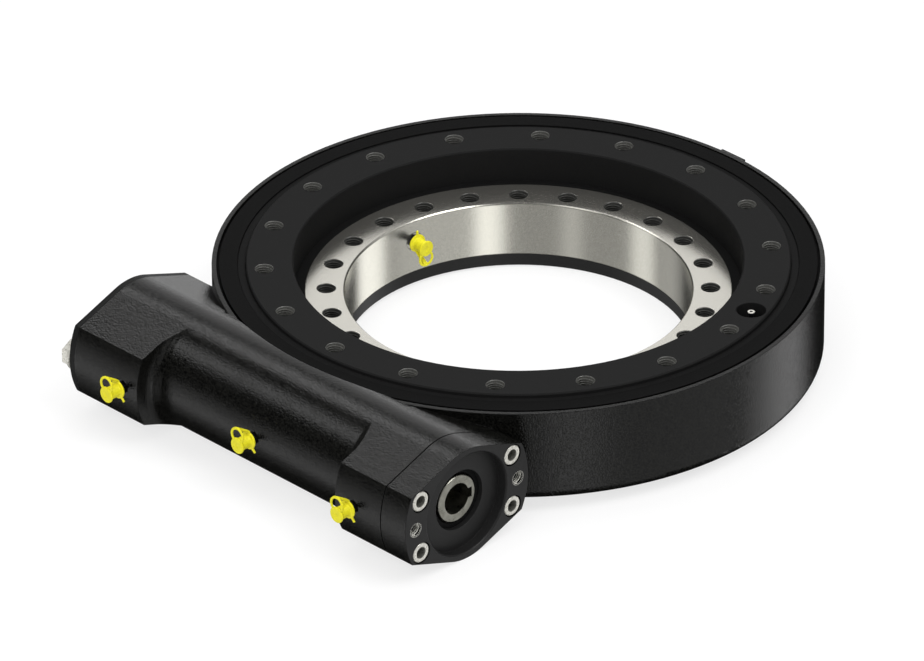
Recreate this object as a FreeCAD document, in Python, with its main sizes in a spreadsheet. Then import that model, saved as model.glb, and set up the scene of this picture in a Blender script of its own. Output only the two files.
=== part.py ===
import FreeCAD, Part
import math
import os
import re
import Sketcher

# Worm driven slewing ring: millimetres, +Z up.
# The origin is the ring axis on the base plane that bolts to the machine frame.
# The worm lies along X on the -Y side, with the motor at its +X end.

# Driving dimensions
sizes = {
    # overall heights above the base plane
    "ring_top": 82,
    "drum_top": 80,
    "drum_bottom": 4.6,
    "web_top": 10,
    "inner_top": 55,
    # the drum, then how far each ring inside it stands in from the one around it
    "drum_radius": 235,
    "drum_wall": 17,
    "gear_cover": 25,
    "retainer_gap": 2.1,
    "retainer_width": 14.3,
    "ring_seal_space": 6,
    "neck_step": 4.5,
    "ring_bolt_inset": 14,
    "ring_bolt_margin": 22.6,
    "race_seal_space": 8.2,
    "race_cover": 5.3,
    "race_split_gap": 2.4,
    "base_bolt_inset": 20.8,
    "base_bolt_margin": 14,
    "base_pad_margin": 9.4,
    "drum_foot_fillet": 8.2,
    "rim_wall": 3.6,
    "rim_recess_depth": 6.5,
    "edge_break": 1,
    "seal_step_level": 46,
    # bolt circles
    "ring_bolt_count": 18,
    "ring_bolt_angle": 10,
    "base_bolt_count": 24,
    "thread_core_radius": 7,
    "bolt_clearance_radius": 8.75,
    "ring_bolt_depth": 24,
    "hole_chamfer": 0.5,
    # worm gear pair
    "gear_teeth": 84,
    "worm_pitch_radius": 26.2,
    "pressure_angle": 20,
    "tip_clearance": 1.25,
    "tooth_play": 0.5,
    "gear_face": 44,
    "neck_height": 8,
    "worm_level": 39,
    "thread_turns": 5,
    # crossed roller race
    "race_level": 32,
    "race_roller_radius": 6,
    "race_roller_length": 11.6,
    "race_roller_count": 48,
    "race_gap": 0.15,
    "spacer_play": 1.43,
    # worm tube and its end blocks
    "tube_radius": 46.4,
    "ear_radius": 63.9,
    "facet_angle": 20,
    "block_end": 182.8,
    "block_inner": 107.9,
    "block_blend": 9,
    "worm_bore": 32.5,
    "cover_thickness": 26,
    "gasket_thickness": 0.8,
    "cover_relief": 1,
    "blank_plate": 5,
    "pilot_margin": 22.6,
    "pilot_depth": 8.5,
    "blank_spigot": 6,
    "spigot_gap": 0.1,
    # worm bearings and shaft
    "bearing_bore": 20,
    "bearing_radius": 34,
    "bearing_width": 19,
    "cup_width": 14.5,
    "bearing_shoulder": 134,
    "cup_angle": 14,
    "cup_small_radius": 29.2,
    "taper_roller_radius": 3.3,
    "taper_roller_start": 2.2,
    "taper_roller_length": 12,
    "taper_roller_count": 16,
    "roller_play": 0.1,
    "shoulder_radius": 24,
    "stub_radius": 19,
    "stub_recess": 11,
    "motor_bore": 12.5,
    "motor_bore_depth": 62,
    "key_width": 8,
    "key_floor": 15.8,
    "far_stub": 11,
    "seal_width": 8,
    "seal_radius": 27.5,
    "seal_window": 24.25,
    "seal_lip_gap": 0.1,
    # end fasteners
    "motor_bolt_margin": 10.7,
    "motor_thread_core": 5.1,
    "motor_thread_depth": 22,
    "cover_screw_margin": 16.3,
    "cover_screw_up": 22,
    "cover_screw_radius": 5,
    "cover_screw_grip": 20,
    "blank_bolt_radius": 6,
    "blank_bolt_grip": 18,
    "blank_washer_radius": 12,
    "blank_washer_thickness": 2.5,
    "blank_head_height": 7.5,
    "blank_head_flats": 19,
    "screw_gap": 0.4,
    # seals of the turning ring
    "lip_gap": 0.3,
    "retainer_step": 3,
    "ring_seal_drop": 1,
    "race_seal_top": 53.8,
    "race_seal_height": 6,
    # grease points
    "nipple_thread": 3,
    "nipple_thread_length": 5,
    "nipple_flats": 9,
    "nipple_hex_height": 3,
    "nipple_neck": 2.3,
    "nipple_head": 3.25,
    "nipple_reach": 15.2,
    "spot_face_radius": 7.2,
    "spot_face_depth": 1,
    "tube_nipple_spread": 125.3,
    "bore_nipple_level": 37,
    "bore_nipple_angle": 172.5,
    "bore_seat_depth": 0.4,
    "ring_nipple_reach": 10,
    "cap_collar_radius": 7.3,
    "cap_collar_start": 3.8,
    "cap_disc_radius": 6.6,
    "cap_disc_thickness": 1.8,
    "cap_waist_radius": 5.1,
    "cap_wall": 1.4,
    "cap_gap": 0.25,
    "pull_ring_radius": 6.8,
    "pull_hole_radius": 3.6,
    "pull_ring_rise": 10.6,
    "strap_width": 4.4,
    "ring_pocket_radius": 11.3,
    "ring_pocket_depth": 12.3,
    "ring_pocket_angle": 20,
    # inner ring fasteners and plugs
    "ring_screw_radius": 4,
    "ring_screw_head": 8,
    "ring_screw_depth": 14,
    "ring_screw_count": 6,
    "ring_screw_angle": 37.5,
    "filler_angle": 307.5,
    "filler_recess": 0.6,
    "filler_pin_radius": 2.5,
    "filler_pin_offset": 3.5,
    "side_pad_width": 24.6,
    "side_pad_height": 24,
    "side_pad_stand": 3,
    "side_plug_radius": 6,
    "side_plug_depth": 10,
    "side_plug_level": 62.5,
}

# Values that follow from the driving dimensions
relations = {
    "rim_inner_radius": "drum_radius - rim_wall",
    "cavity_radius": "drum_radius - drum_wall",
    "retainer_radius": "rim_inner_radius - retainer_gap",
    "ring_seal_radius": "retainer_radius - retainer_width",
    "turning_rim_radius": "ring_seal_radius - ring_seal_space",
    "neck_radius": "turning_rim_radius - neck_step",
    "ring_bolt_radius": "turning_rim_radius - ring_bolt_inset",
    "outer_wall_radius": "ring_bolt_radius - ring_bolt_margin",
    "seal_step_radius": "outer_wall_radius - race_seal_space",
    "inner_ring_radius": "outer_wall_radius - race_cover",
    "turning_bore_radius": "inner_ring_radius + race_split_gap",
    "race_radius": "inner_ring_radius + race_split_gap / 2",
    "base_bolt_radius": "race_radius - base_bolt_inset",
    "bore_radius": "base_bolt_radius - base_bolt_margin",
    "base_pad_radius": "inner_ring_radius + base_pad_margin",
    "filler_pin_reach": "base_bolt_radius + filler_pin_offset",
    "race_pitch": "2 * pi * race_radius / race_roller_count",
    "spacer_thickness": "race_pitch - 2 * race_roller_radius - spacer_play",
    "gear_module": "2 * (drum_radius - gear_cover) / gear_teeth",
    "gear_pitch_radius": "gear_module * gear_teeth / 2",
    "gear_tip_radius": "gear_pitch_radius + gear_module",
    "gear_root_radius": "gear_pitch_radius - gear_module - tip_clearance",
    "centre_distance": "gear_pitch_radius + worm_pitch_radius",
    "worm_tip_radius": "worm_pitch_radius + gear_module",
    "worm_root_radius": "worm_pitch_radius - gear_module - tip_clearance",
    "axial_pitch": "pi * gear_module",
    "gear_bottom": "worm_level - gear_face / 2",
    "gear_top": "worm_level + gear_face / 2",
    "half_gap": "axial_pitch / 4 + tooth_play",
    "tooth_skew": "gear_face * gear_module / 2 / worm_pitch_radius / gear_pitch_radius * 180 / pi",
    "race_reach": "(race_roller_radius + race_gap) * sqrt(2)",
    "recess_floor": "drum_top - rim_recess_depth",
    "cover_face": "block_end - cover_thickness",
    "housing_motor_end": "cover_face - gasket_thickness",
    "housing_far_end": "block_end - blank_plate",
    "bearing_outer": "bearing_shoulder + bearing_width",
    "facet_across": "tube_radius * sin(facet_angle)",
    "facet_up": "tube_radius * cos(facet_angle)",
    "ear_across": "ear_radius * cos(ear_half_angle)",
    "ear_up": "ear_radius * sin(ear_half_angle)",
    "ear_half_angle": "90 - facet_angle - acos(tube_radius / ear_radius) / (1 deg)",
    "pilot_radius": "ear_radius - pilot_margin",
    "motor_bolt_spacing": "2 * (ear_radius - motor_bolt_margin)",
    "cover_screw_across": "ear_radius - cover_screw_margin",
    "blend_end": "block_inner - block_blend",
    "shaft_end": "block_end - stub_recess",
    "apex": "bearing_outer + cup_small_radius / tan(cup_angle)",
    "ring_hole_floor": "ring_top - ring_bolt_depth",
    "tube_seat": "tube_radius - spot_face_depth",
    "ear_seat": "ear_radius - spot_face_depth",
    "bore_seat": "bore_radius + bore_seat_depth",
    "ring_seat": "ring_top - ring_pocket_depth",
    "pad_level": "drum_top - 1 - side_pad_height / 2",
}

doc = FreeCAD.newDocument("SlewingDrive")
sheet = doc.addObject("Spreadsheet::Sheet", "Sizes")
for row, (name, value) in enumerate(sizes.items(), 1):
    sheet.set(f"A{row}", name)
    sheet.set(f"B{row}", str(value))
    sheet.setAlias(f"B{row}", name)
doc.recompute()

parts = []


def cells(text):
    # writes each size's name as its cell, and each relation as its formula
    def cell(match):
        word = match[0]
        if word in relations:
            return "(" + cells(relations[word]) + ")"
        return "Sizes." + word if word in sizes else word
    return re.sub(r"[a-z_]+", cell, text)


def amount(text):
    value = sheet.evalExpression(cells(text))
    return float(getattr(value, "Value", value))


def bind(target, path, text):
    target.setExpression(path, cells(text))


def new_part(label):
    body = doc.addObject("PartDesign::Body", label)
    body.Label = label
    parts.append(body)
    return body


def place(target, spot, axis=None, angle=None, swing="0"):
    turned = FreeCAD.Rotation(FreeCAD.Vector(*(axis or (0, 0, 1))), amount(angle or "0"))
    turned = FreeCAD.Rotation(FreeCAD.Vector(0, 0, 1), amount(swing)).multiply(turned)
    target.Placement = FreeCAD.Placement(FreeCAD.Vector(), turned)
    for letter, text in zip("xyz", spot):
        bind(target, f"Placement.Base.{letter}", text)


def on_worm_axis(body):
    # the part's own Z becomes the worm axis, along +X
    place(body, ("0", "-centre_distance", "worm_level"), (0, 1, 0), "90")


def origin_part(body, role):
    return next(item for item in body.Origin.OriginFeatures if item.Role == role)


def new_sketch(body, plane, name, shift, turn):
    sketch = body.newObject("Sketcher::SketchObject", name)
    sketch.AttachmentSupport = (origin_part(body, plane), [""])
    sketch.MapMode = "FlatFace"
    if turn:
        axis, angle = turn
        rotation = FreeCAD.Rotation(FreeCAD.Vector(*axis), amount(angle))
        sketch.AttachmentOffset = FreeCAD.Placement(FreeCAD.Vector(), rotation)
        bind(sketch, "AttachmentOffset.Rotation.Angle", angle)
    for letter, text in zip("xyz", shift or ()):
        bind(sketch, f"AttachmentOffset.Base.{letter}", text)
    return sketch


def hold(sketch, kind, edge, point, text):
    number = sketch.addConstraint(Sketcher.Constraint(kind, -1, 1, edge, point, amount(text)))
    bind(sketch, f"Constraints[{number}]", text)


def arc_between(start, end, radius, turn):
    chord = end - start
    side = FreeCAD.Vector(-chord.y, chord.x, 0).normalize() * turn
    centre = start + chord / 2 + side * math.sqrt(radius ** 2 - (chord.Length / 2) ** 2)
    first, last = (start, end) if turn > 0 else (end, start)
    angles = [math.atan2(p.y - centre.y, p.x - centre.x) for p in (first, last)]
    circle = Part.Circle(centre, FreeCAD.Vector(0, 0, 1), radius)
    return Part.ArcOfCircle(circle, *angles)


def outline(body, plane, name, corners, shift=None, turn=None):
    # A corner is (across, up); with a radius and a turn of +1 or -1 the edge after it is an arc.
    sketch = new_sketch(body, plane, name, shift, turn)
    spots = [FreeCAD.Vector(amount(corner[0]), amount(corner[1]), 0) for corner in corners]
    ends = []
    for number, corner in enumerate(corners):
        start = spots[number]
        end = spots[(number + 1) % len(corners)]
        if len(corner) == 4:
            edge = sketch.addGeometry(arc_between(start, end, amount(corner[2]), corner[3]), False)
            ends.append((edge, 1, 2) if corner[3] > 0 else (edge, 2, 1))
        else:
            edge = sketch.addGeometry(Part.LineSegment(start, end), False)
            ends.append((edge, 1, 2))
    for number, corner in enumerate(corners):
        edge, first, last = ends[number]
        following, next_first, _ = ends[(number + 1) % len(corners)]
        sketch.addConstraint(Sketcher.Constraint("Coincident", edge, last, following, next_first))
        hold(sketch, "DistanceX", edge, first, corner[0])
        hold(sketch, "DistanceY", edge, first, corner[1])
        if len(corner) == 4:
            radius = sketch.addConstraint(Sketcher.Constraint("Radius", edge, amount(corner[2])))
            bind(sketch, f"Constraints[{radius}]", corner[2])
    return sketch


def circles(body, plane, name, rounds, shift=None, turn=None):
    sketch = new_sketch(body, plane, name, shift, turn)
    for across, up, radius in rounds:
        centre = FreeCAD.Vector(amount(across), amount(up), 0)
        shape = Part.Circle(centre, FreeCAD.Vector(0, 0, 1), amount(radius))
        edge = sketch.addGeometry(shape, False)
        hold(sketch, "DistanceX", edge, 3, across)
        hold(sketch, "DistanceY", edge, 3, up)
        number = sketch.addConstraint(Sketcher.Constraint("Radius", edge, amount(radius)))
        bind(sketch, f"Constraints[{number}]", radius)
    return sketch


def hexagon(body, plane, name, flats, centre=("0", "0"), shift=None):
    reach = f"({flats}) / sqrt(3)"
    corners = [(f"{centre[0]} + {reach} * cos({60 * k})", f"{centre[1]} + {reach} * sin({60 * k})")
               for k in range(6)]
    return outline(body, plane, name, corners, shift)


def turned(body, kind, sketch, axis="V_Axis"):
    feature = body.newObject(f"PartDesign::{kind}", f"{sketch.Name}_{kind}")
    feature.Profile = sketch
    feature.ReferenceAxis = (sketch, [axis])
    feature.Angle = 360
    sketch.Visibility = False
    return feature


def revolve(body, sketch, axis="V_Axis"):
    return turned(body, "Revolution", sketch, axis)


def groove(body, sketch, axis="V_Axis"):
    return turned(body, "Groove", sketch, axis)


def pad(body, sketch, length, reverse=False, both=False):
    feature = body.newObject("PartDesign::Pad", f"{sketch.Name}_Pad")
    feature.Profile = sketch
    bind(feature, "Length", length)
    feature.Reversed = reverse
    feature.Midplane = both
    return feature


def pocket(body, sketch, length, reverse=False, both=False):
    feature = body.newObject("PartDesign::Pocket", f"{sketch.Name}_Pocket")
    feature.Profile = sketch
    bind(feature, "Length", length)
    feature.Reversed = reverse
    feature.Midplane = both
    return feature


def around(body, feature, count):
    pattern = body.newObject("PartDesign::PolarPattern", f"{feature.Name}_Ring")
    pattern.Originals = [feature]
    pattern.Axis = (origin_part(body, "Z_Axis"), [""])
    pattern.Angle = 360
    bind(pattern, "Occurrences", count)
    body.Tip = pattern
    return pattern


def block_corners():
    # section of the worm tube's end blocks, about the worm axis
    top = ("tube_radius", 1)
    side = ("ear_radius", 1)
    return [
        ("ear_across", "-ear_up", *side),
        ("ear_across", "ear_up"),
        ("facet_across", "facet_up", *top),
        ("-facet_across", "facet_up"),
        ("-ear_across", "ear_up", *side),
        ("-ear_across", "-ear_up"),
        ("-facet_across", "-facet_up", *top),
        ("facet_across", "-facet_up"),
    ]


def drill(body, name, across, top, radius, depth, bevel, turn=None, upward=False):
    # a round hole with a bevelled rim, turned about its own axis
    way = "+" if upward else "-"
    back = "-" if upward else "+"
    corners = [
        ("0", f"{top} {back} 1"),
        (f"{radius} + {bevel} + 1", f"{top} {back} 1"),
        (radius, f"{top} {way} {bevel}"),
        (radius, f"{top} {way} ({depth})"),
        ("0", f"{top} {way} ({depth})"),
    ]
    swing = ((0, 1, 0), turn) if turn else None
    sketch = outline(body, "XZ_Plane", name, [(f"{across} + {x}", y) for x, y in corners], turn=swing)
    line = sketch.addGeometry(Part.LineSegment(
        FreeCAD.Vector(amount(across), 0, 0), FreeCAD.Vector(amount(across), 10, 0)), True)
    for point, up in ((1, "0"), (2, "10")):
        hold(sketch, "DistanceX", line, point, across)
        hold(sketch, "DistanceY", line, point, up)
    return groove(body, sketch, "Axis0")


def build_housing():
    body = new_part("housing")
    about_worm = ("0", "worm_level", "centre_distance")
    section = [(f"{x} - centre_distance", f"{y} + worm_level", *rest) for x, y, *rest in block_corners()]
    for name, start, length in (
            ("FarBlock", "-housing_far_end", "housing_far_end - blend_end"),
            ("MotorBlock", "blend_end", "housing_motor_end - blend_end")):
        pad(body, outline(body, "YZ_Plane", name, section, ("0", "0", start)), length)
    for name, sign, turn in (("FarBlend", "-", -1), ("MotorBlend", "", 1)):
        groove(body, outline(body, "XZ_Plane", name, [
            (f"{sign}blend_end", "tube_radius", "block_blend", turn),
            (f"{sign}block_inner", "tube_radius + block_blend"),
            (f"{sign}block_inner", "ear_radius + 2"),
            (f"{sign}(blend_end - 1)", "ear_radius + 2"),
            (f"{sign}(blend_end - 1)", "tube_radius"),
        ], about_worm), "H_Axis")
    tube = circles(body, "YZ_Plane", "Tube", [("-centre_distance", "worm_level", "tube_radius")],
                   ("0", "0", "-housing_far_end"))
    pad(body, tube, "housing_far_end + housing_motor_end")

    revolve(body, outline(body, "XZ_Plane", "Drum", [
        ("bore_radius", "0"),
        ("base_pad_radius", "0"),
        ("base_pad_radius", "drum_bottom"),
        ("drum_radius - drum_foot_fillet", "drum_bottom", "drum_foot_fillet", 1),
        ("drum_radius", "drum_bottom + drum_foot_fillet"),
        ("drum_radius", "drum_top"),
        ("bore_radius", "drum_top"),
    ]))
    pad_corners = [(f"{x} * side_pad_width / 2", f"pad_level + {y} * side_pad_height / 2")
                   for x, y in ((-1, -1), (1, -1), (1, 1), (-1, 1))]
    side = outline(body, "XZ_Plane", "SidePad", pad_corners, ("0", "0", "-(drum_radius + side_pad_stand)"))
    pad(body, side, "side_pad_stand + rim_wall")

    # the turned faces: cavity for the gear, recess for the retainer and the level rim
    groove(body, outline(body, "XZ_Plane", "Cavity", [
        ("0", "web_top"),
        ("cavity_radius", "web_top"),
        ("cavity_radius", "recess_floor"),
        ("rim_inner_radius", "recess_floor"),
        ("rim_inner_radius", "ring_top + 20"),
        ("0", "ring_top + 20"),
    ]))
    groove(body, outline(body, "XZ_Plane", "Bore", [
        ("0", "-ring_top"),
        ("bore_radius", "-ring_top"),
        ("bore_radius", "web_top + 1"),
        ("0", "web_top + 1"),
    ]))
    groove(body, outline(body, "XZ_Plane", "WormBore", [
        ("-block_end - 1", "0"),
        ("block_end + 1", "0"),
        ("block_end + 1", "bearing_radius"),
        ("bearing_shoulder - 2", "bearing_radius"),
        ("bearing_shoulder - 3", "worm_bore"),
        ("-bearing_shoulder + 3", "worm_bore"),
        ("-bearing_shoulder + 2", "bearing_radius"),
        ("-housing_far_end + blank_spigot", "bearing_radius"),
        ("-housing_far_end + blank_spigot", "pilot_radius"),
        ("-block_end - 1", "pilot_radius"),
    ], about_worm), "H_Axis")

    relief = circles(body, "YZ_Plane", "CoverRelief", [("-centre_distance", "worm_level", "ear_radius + cover_relief")],
                     ("0", "0", "housing_motor_end"))
    pocket(body, relief, "cover_thickness", reverse=True)

    # tapped holes for the end covers
    places = [(f"{x} * cover_screw_across - centre_distance", f"{y} * cover_screw_up + worm_level",
               "cover_screw_radius") for x in (-1, 1) for y in (-1, 1)]
    pocket(body, circles(body, "YZ_Plane", "CoverTaps", places, ("0", "0", "housing_motor_end")),
           "cover_screw_grip + 2")
    places = [(f"{x} * motor_bolt_spacing / 2 - centre_distance", "worm_level", "blank_bolt_radius")
              for x in (-1, 1)]
    pocket(body, circles(body, "YZ_Plane", "BlankTaps", places, ("0", "0", "-housing_far_end")),
           "blank_bolt_grip + 2", reverse=True)

    # grease points on the worm tube, along +Y from their flat seats
    for name, across, seat, reach in (
            ("FarGrease", "-tube_nipple_spread", "ear_seat", "ear_seat - worm_bore + 2"),
            ("MidGrease", "0", "tube_seat", "tube_seat - worm_bore + 2"),
            ("MotorGrease", "tube_nipple_spread", "ear_seat", "ear_seat - worm_bore + 2")):
        front = ("0", "0", f"centre_distance + {seat}")
        face = circles(body, "XZ_Plane", f"{name}Seat", [(across, "worm_level", "spot_face_radius")], front)
        pocket(body, face, "20", reverse=True)
        hole = circles(body, "XZ_Plane", f"{name}Hole", [(across, "worm_level", "nipple_thread")], front)
        pocket(body, hole, reach)

    plug = circles(body, "XZ_Plane", "SidePlugHole", [("0", "side_plug_level", "side_plug_radius")],
                   ("0", "0", "-(drum_radius + side_pad_stand)"))
    pocket(body, plug, "side_plug_depth", reverse=True)

    bolts = circles(body, "XY_Plane", "BaseHole", [("base_bolt_radius", "0", "bolt_clearance_radius")])
    around(body, pocket(body, bolts, "web_top * 3", both=True), "base_bolt_count")
    sink = drill(body, "ScrewSink", "base_bolt_radius", "0", "ring_screw_radius + screw_gap", "web_top + 1",
                 "ring_screw_head - ring_screw_radius", "ring_screw_angle", upward=True)
    around(body, sink, "ring_screw_count")


def build_geared_ring():
    body = new_part("geared_ring")
    place(body, ("0", "0", "0"), (0, 0, 1), "ring_bolt_angle")
    bind(body, "Placement.Rotation.Angle", "ring_bolt_angle")
    revolve(body, outline(body, "XZ_Plane", "TurningRing", [
        ("turning_bore_radius", "gear_bottom"),
        ("gear_tip_radius", "gear_bottom"),
        ("gear_tip_radius", "gear_top"),
        ("neck_radius", "gear_top"),
        ("turning_rim_radius", "gear_top + neck_height"),
        ("turning_rim_radius", "ring_top - edge_break"),
        ("turning_rim_radius - edge_break", "ring_top"),
        ("outer_wall_radius + edge_break", "ring_top"),
        ("outer_wall_radius", "ring_top - edge_break"),
        ("outer_wall_radius", "seal_step_level"),
        ("turning_bore_radius", "seal_step_level"),
    ]))
    cut_race(body)
    hole = drill(body, "RingHole", "ring_bolt_radius", "ring_top", "thread_core_radius", "ring_bolt_depth",
                 "hole_chamfer")
    around(body, hole, "ring_bolt_count")
    recess = "ring_pocket_angle - ring_bolt_angle"
    drill(body, "GreasePocket", "ring_bolt_radius", "ring_top", "ring_pocket_radius", "ring_pocket_depth",
          "0.3", recess)
    drill(body, "GreaseThread", "ring_bolt_radius", "ring_seat", "nipple_thread",
          "nipple_thread_length + 1", "0.3", recess)

    # one tooth gap, skewed like the worm thread, and its copies round the ring
    deep = "gear_root_radius"
    wide = "gear_tip_radius + 1"
    slope = "* tan(pressure_angle)"
    gap = [
        (deep, f"-half_gap + (gear_pitch_radius - {deep}) {slope}"),
        (wide, f"-half_gap - ({wide} - gear_pitch_radius) {slope}"),
        (wide, f"half_gap + ({wide} - gear_pitch_radius) {slope}"),
        (deep, f"half_gap - (gear_pitch_radius - {deep}) {slope}"),
    ]
    facing_worm = "270 - ring_bolt_angle"
    low = outline(body, "XY_Plane", "GapLow", gap, ("0", "0", "gear_bottom"),
                  ((0, 0, 1), f"{facing_worm} - tooth_skew / 2"))
    high = outline(body, "XY_Plane", "GapHigh", gap, ("0", "0", "gear_top"),
                   ((0, 0, 1), f"{facing_worm} + tooth_skew / 2"))
    gap_loft = body.newObject("PartDesign::SubtractiveLoft", "ToothGap")
    gap_loft.Profile = low
    gap_loft.Sections = [high]
    gap_loft.Ruled = True
    around(body, gap_loft, "gear_teeth")


def cut_race(body):
    # the square roller track, half in each ring
    groove(body, outline(body, "XZ_Plane", "Race", [
        ("race_radius - race_reach", "race_level"),
        ("race_radius", "race_level - race_reach"),
        ("race_radius + race_reach", "race_level"),
        ("race_radius", "race_level + race_reach"),
    ]))


def build_inner_ring():
    body = new_part("inner_ring")
    revolve(body, outline(body, "XZ_Plane", "InnerRing", [
        ("bore_radius", "web_top"),
        ("inner_ring_radius", "web_top"),
        ("inner_ring_radius", "seal_step_level"),
        ("seal_step_radius", "seal_step_level"),
        ("seal_step_radius", "inner_top - edge_break / 2"),
        ("seal_step_radius - edge_break / 2", "inner_top"),
        ("bore_radius + edge_break", "inner_top"),
        ("bore_radius", "inner_top - edge_break"),
    ]))
    cut_race(body)
    through = drill(body, "BaseThread", "base_bolt_radius", "inner_top", "thread_core_radius",
                    "inner_top", "hole_chamfer")
    around(body, through, "base_bolt_count")
    screw = drill(body, "ScrewThread", "base_bolt_radius", "web_top", "ring_screw_radius",
                  "ring_screw_depth + 1", "0.3", "ring_screw_angle", upward=True)
    around(body, screw, "ring_screw_count")
    at_seat = ("bore_seat * sin(bore_nipple_angle)", "0", "bore_seat * cos(bore_nipple_angle)")
    radial = ((0, 1, 0), "bore_nipple_angle")
    seat = circles(body, "YZ_Plane", "BoreGreaseSeat", [("0", "bore_nipple_level", "spot_face_radius")],
                   at_seat, radial)
    pocket(body, seat, "20")
    hole = circles(body, "YZ_Plane", "BoreGreaseHole", [("0", "bore_nipple_level", "nipple_thread")],
                   at_seat, radial)
    pocket(body, hole, "nipple_thread_length", reverse=True)
    filler = circles(body, "YZ_Plane", "FillerHole", [("0", "race_level", "race_reach")],
                     ("0", "0", "0"), ((0, 1, 0), "filler_angle"))
    pocket(body, filler, "race_radius", reverse=True)
    drill(body, "FillerPinHole", "filler_pin_reach", "inner_top", "filler_pin_radius",
          "inner_top - web_top - 4", "0.3", "filler_angle")


def build_filler():
    plug = new_part("filler_plug")
    along = ((0, 1, 0), "filler_angle")
    body_round = circles(plug, "YZ_Plane", "Plug", [("0", "race_level", "race_reach")],
                         ("0", "0", "0"), along)
    pad(plug, body_round, "inner_ring_radius - 0.4")
    cut_race(plug)
    groove(plug, outline(plug, "XZ_Plane", "PlugBack", [
        ("0", "0"),
        ("bore_radius + filler_recess", "0"),
        ("bore_radius + filler_recess", "inner_top"),
        ("0", "inner_top"),
    ]))
    drill(plug, "PlugPinHole", "filler_pin_reach", "inner_top", "filler_pin_radius",
          "inner_top - web_top - 4", "0.3", "filler_angle")

    pin = new_part("filler_pin")
    pin_round = outline(pin, "XZ_Plane", "Pin", [
        ("0", "web_top + 4"),
        ("filler_pin_radius - 0.4", "web_top + 4"),
        ("filler_pin_radius", "web_top + 4.4"),
        ("filler_pin_radius", "inner_top - 1"),
        ("0", "inner_top - 1"),
    ])
    revolve(pin, pin_round)
    place(pin, ("filler_pin_reach * cos(filler_angle)",
                "filler_pin_reach * sin(filler_angle)", "0"))


def build_race_fill():
    rollers = new_part("race_rollers")
    step = "360 / race_roller_count"
    for name, tilt, start in (("Rising", "45", "0"), ("Falling", "-45", "1")):
        # each roller lies across the square track, in turn one way and the other
        half = "race_roller_length / 2"
        corners = [("0", f"-{half}"), ("race_roller_radius", f"-{half}"),
                   ("race_roller_radius", half), ("0", half)]
        leaned = [(f"race_radius + ({x}) * cos({tilt}) - ({y}) * sin({tilt})",
                   f"race_level + ({x}) * sin({tilt}) + ({y}) * cos({tilt})") for x, y in corners]
        sketch = outline(rollers, "XZ_Plane", f"{name}Roller", leaned,
                         turn=((0, 1, 0), f"{start} * {step}"))
        line = sketch.addGeometry(Part.LineSegment(FreeCAD.Vector(0, 0, 0), FreeCAD.Vector(1, 1, 0)), True)
        for point, reach in ((1, "-10"), (2, "10")):
            hold(sketch, "DistanceX", line, point, f"race_radius - ({reach}) * sin({tilt})")
            hold(sketch, "DistanceY", line, point, f"race_level + ({reach}) * cos({tilt})")
        around(rollers, revolve(rollers, sketch, "Axis0"), "race_roller_count / 2")

    spacers = new_part("race_spacers")
    reach = "(race_reach - 0.25)"
    diamond = [(f"race_radius - {reach}", "race_level"), ("race_radius", f"race_level - {reach}"),
               (f"race_radius + {reach}", "race_level"), ("race_radius", f"race_level + {reach}")]
    sketch = outline(spacers, "XZ_Plane", "Spacer", diamond, turn=((0, 1, 0), f"{step} / 2"))
    around(spacers, pad(spacers, sketch, "spacer_thickness", both=True), "race_roller_count")


def build_ring_seals():
    race_seal = new_part("race_seal")
    low = "race_seal_top - race_seal_height"
    lip = "outer_wall_radius - lip_gap"
    revolve(race_seal, outline(race_seal, "XZ_Plane", "RaceSeal", [
        ("seal_step_radius", low),
        ("seal_step_radius + 4", low),
        ("seal_step_radius + 4", "race_seal_top - 3"),
        (lip, "race_seal_top - 1.6"),
        (lip, "race_seal_top"),
        ("seal_step_radius", "race_seal_top"),
    ]))

    ring_seal = new_part("ring_seal")
    top = "drum_top - ring_seal_drop"
    revolve(ring_seal, outline(ring_seal, "XZ_Plane", "RingSeal", [
        ("ring_seal_radius - 4", "recess_floor + 1"),
        ("ring_seal_radius", "recess_floor"),
        ("ring_seal_radius", top),
        ("turning_rim_radius + lip_gap", top),
        ("turning_rim_radius + lip_gap", f"{top} - 1.4"),
        ("ring_seal_radius - 4", f"{top} - 3"),
    ]))

    retainer = new_part("seal_retainer")
    revolve(retainer, outline(retainer, "XZ_Plane", "Retainer", [
        ("ring_seal_radius", "recess_floor"),
        ("rim_inner_radius", "recess_floor"),
        ("rim_inner_radius", "drum_top - retainer_step"),
        ("retainer_radius", "drum_top - retainer_step"),
        ("retainer_radius", "drum_top"),
        ("ring_seal_radius + 0.4", "drum_top"),
        ("ring_seal_radius", "drum_top - 0.4"),
    ]))


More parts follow.
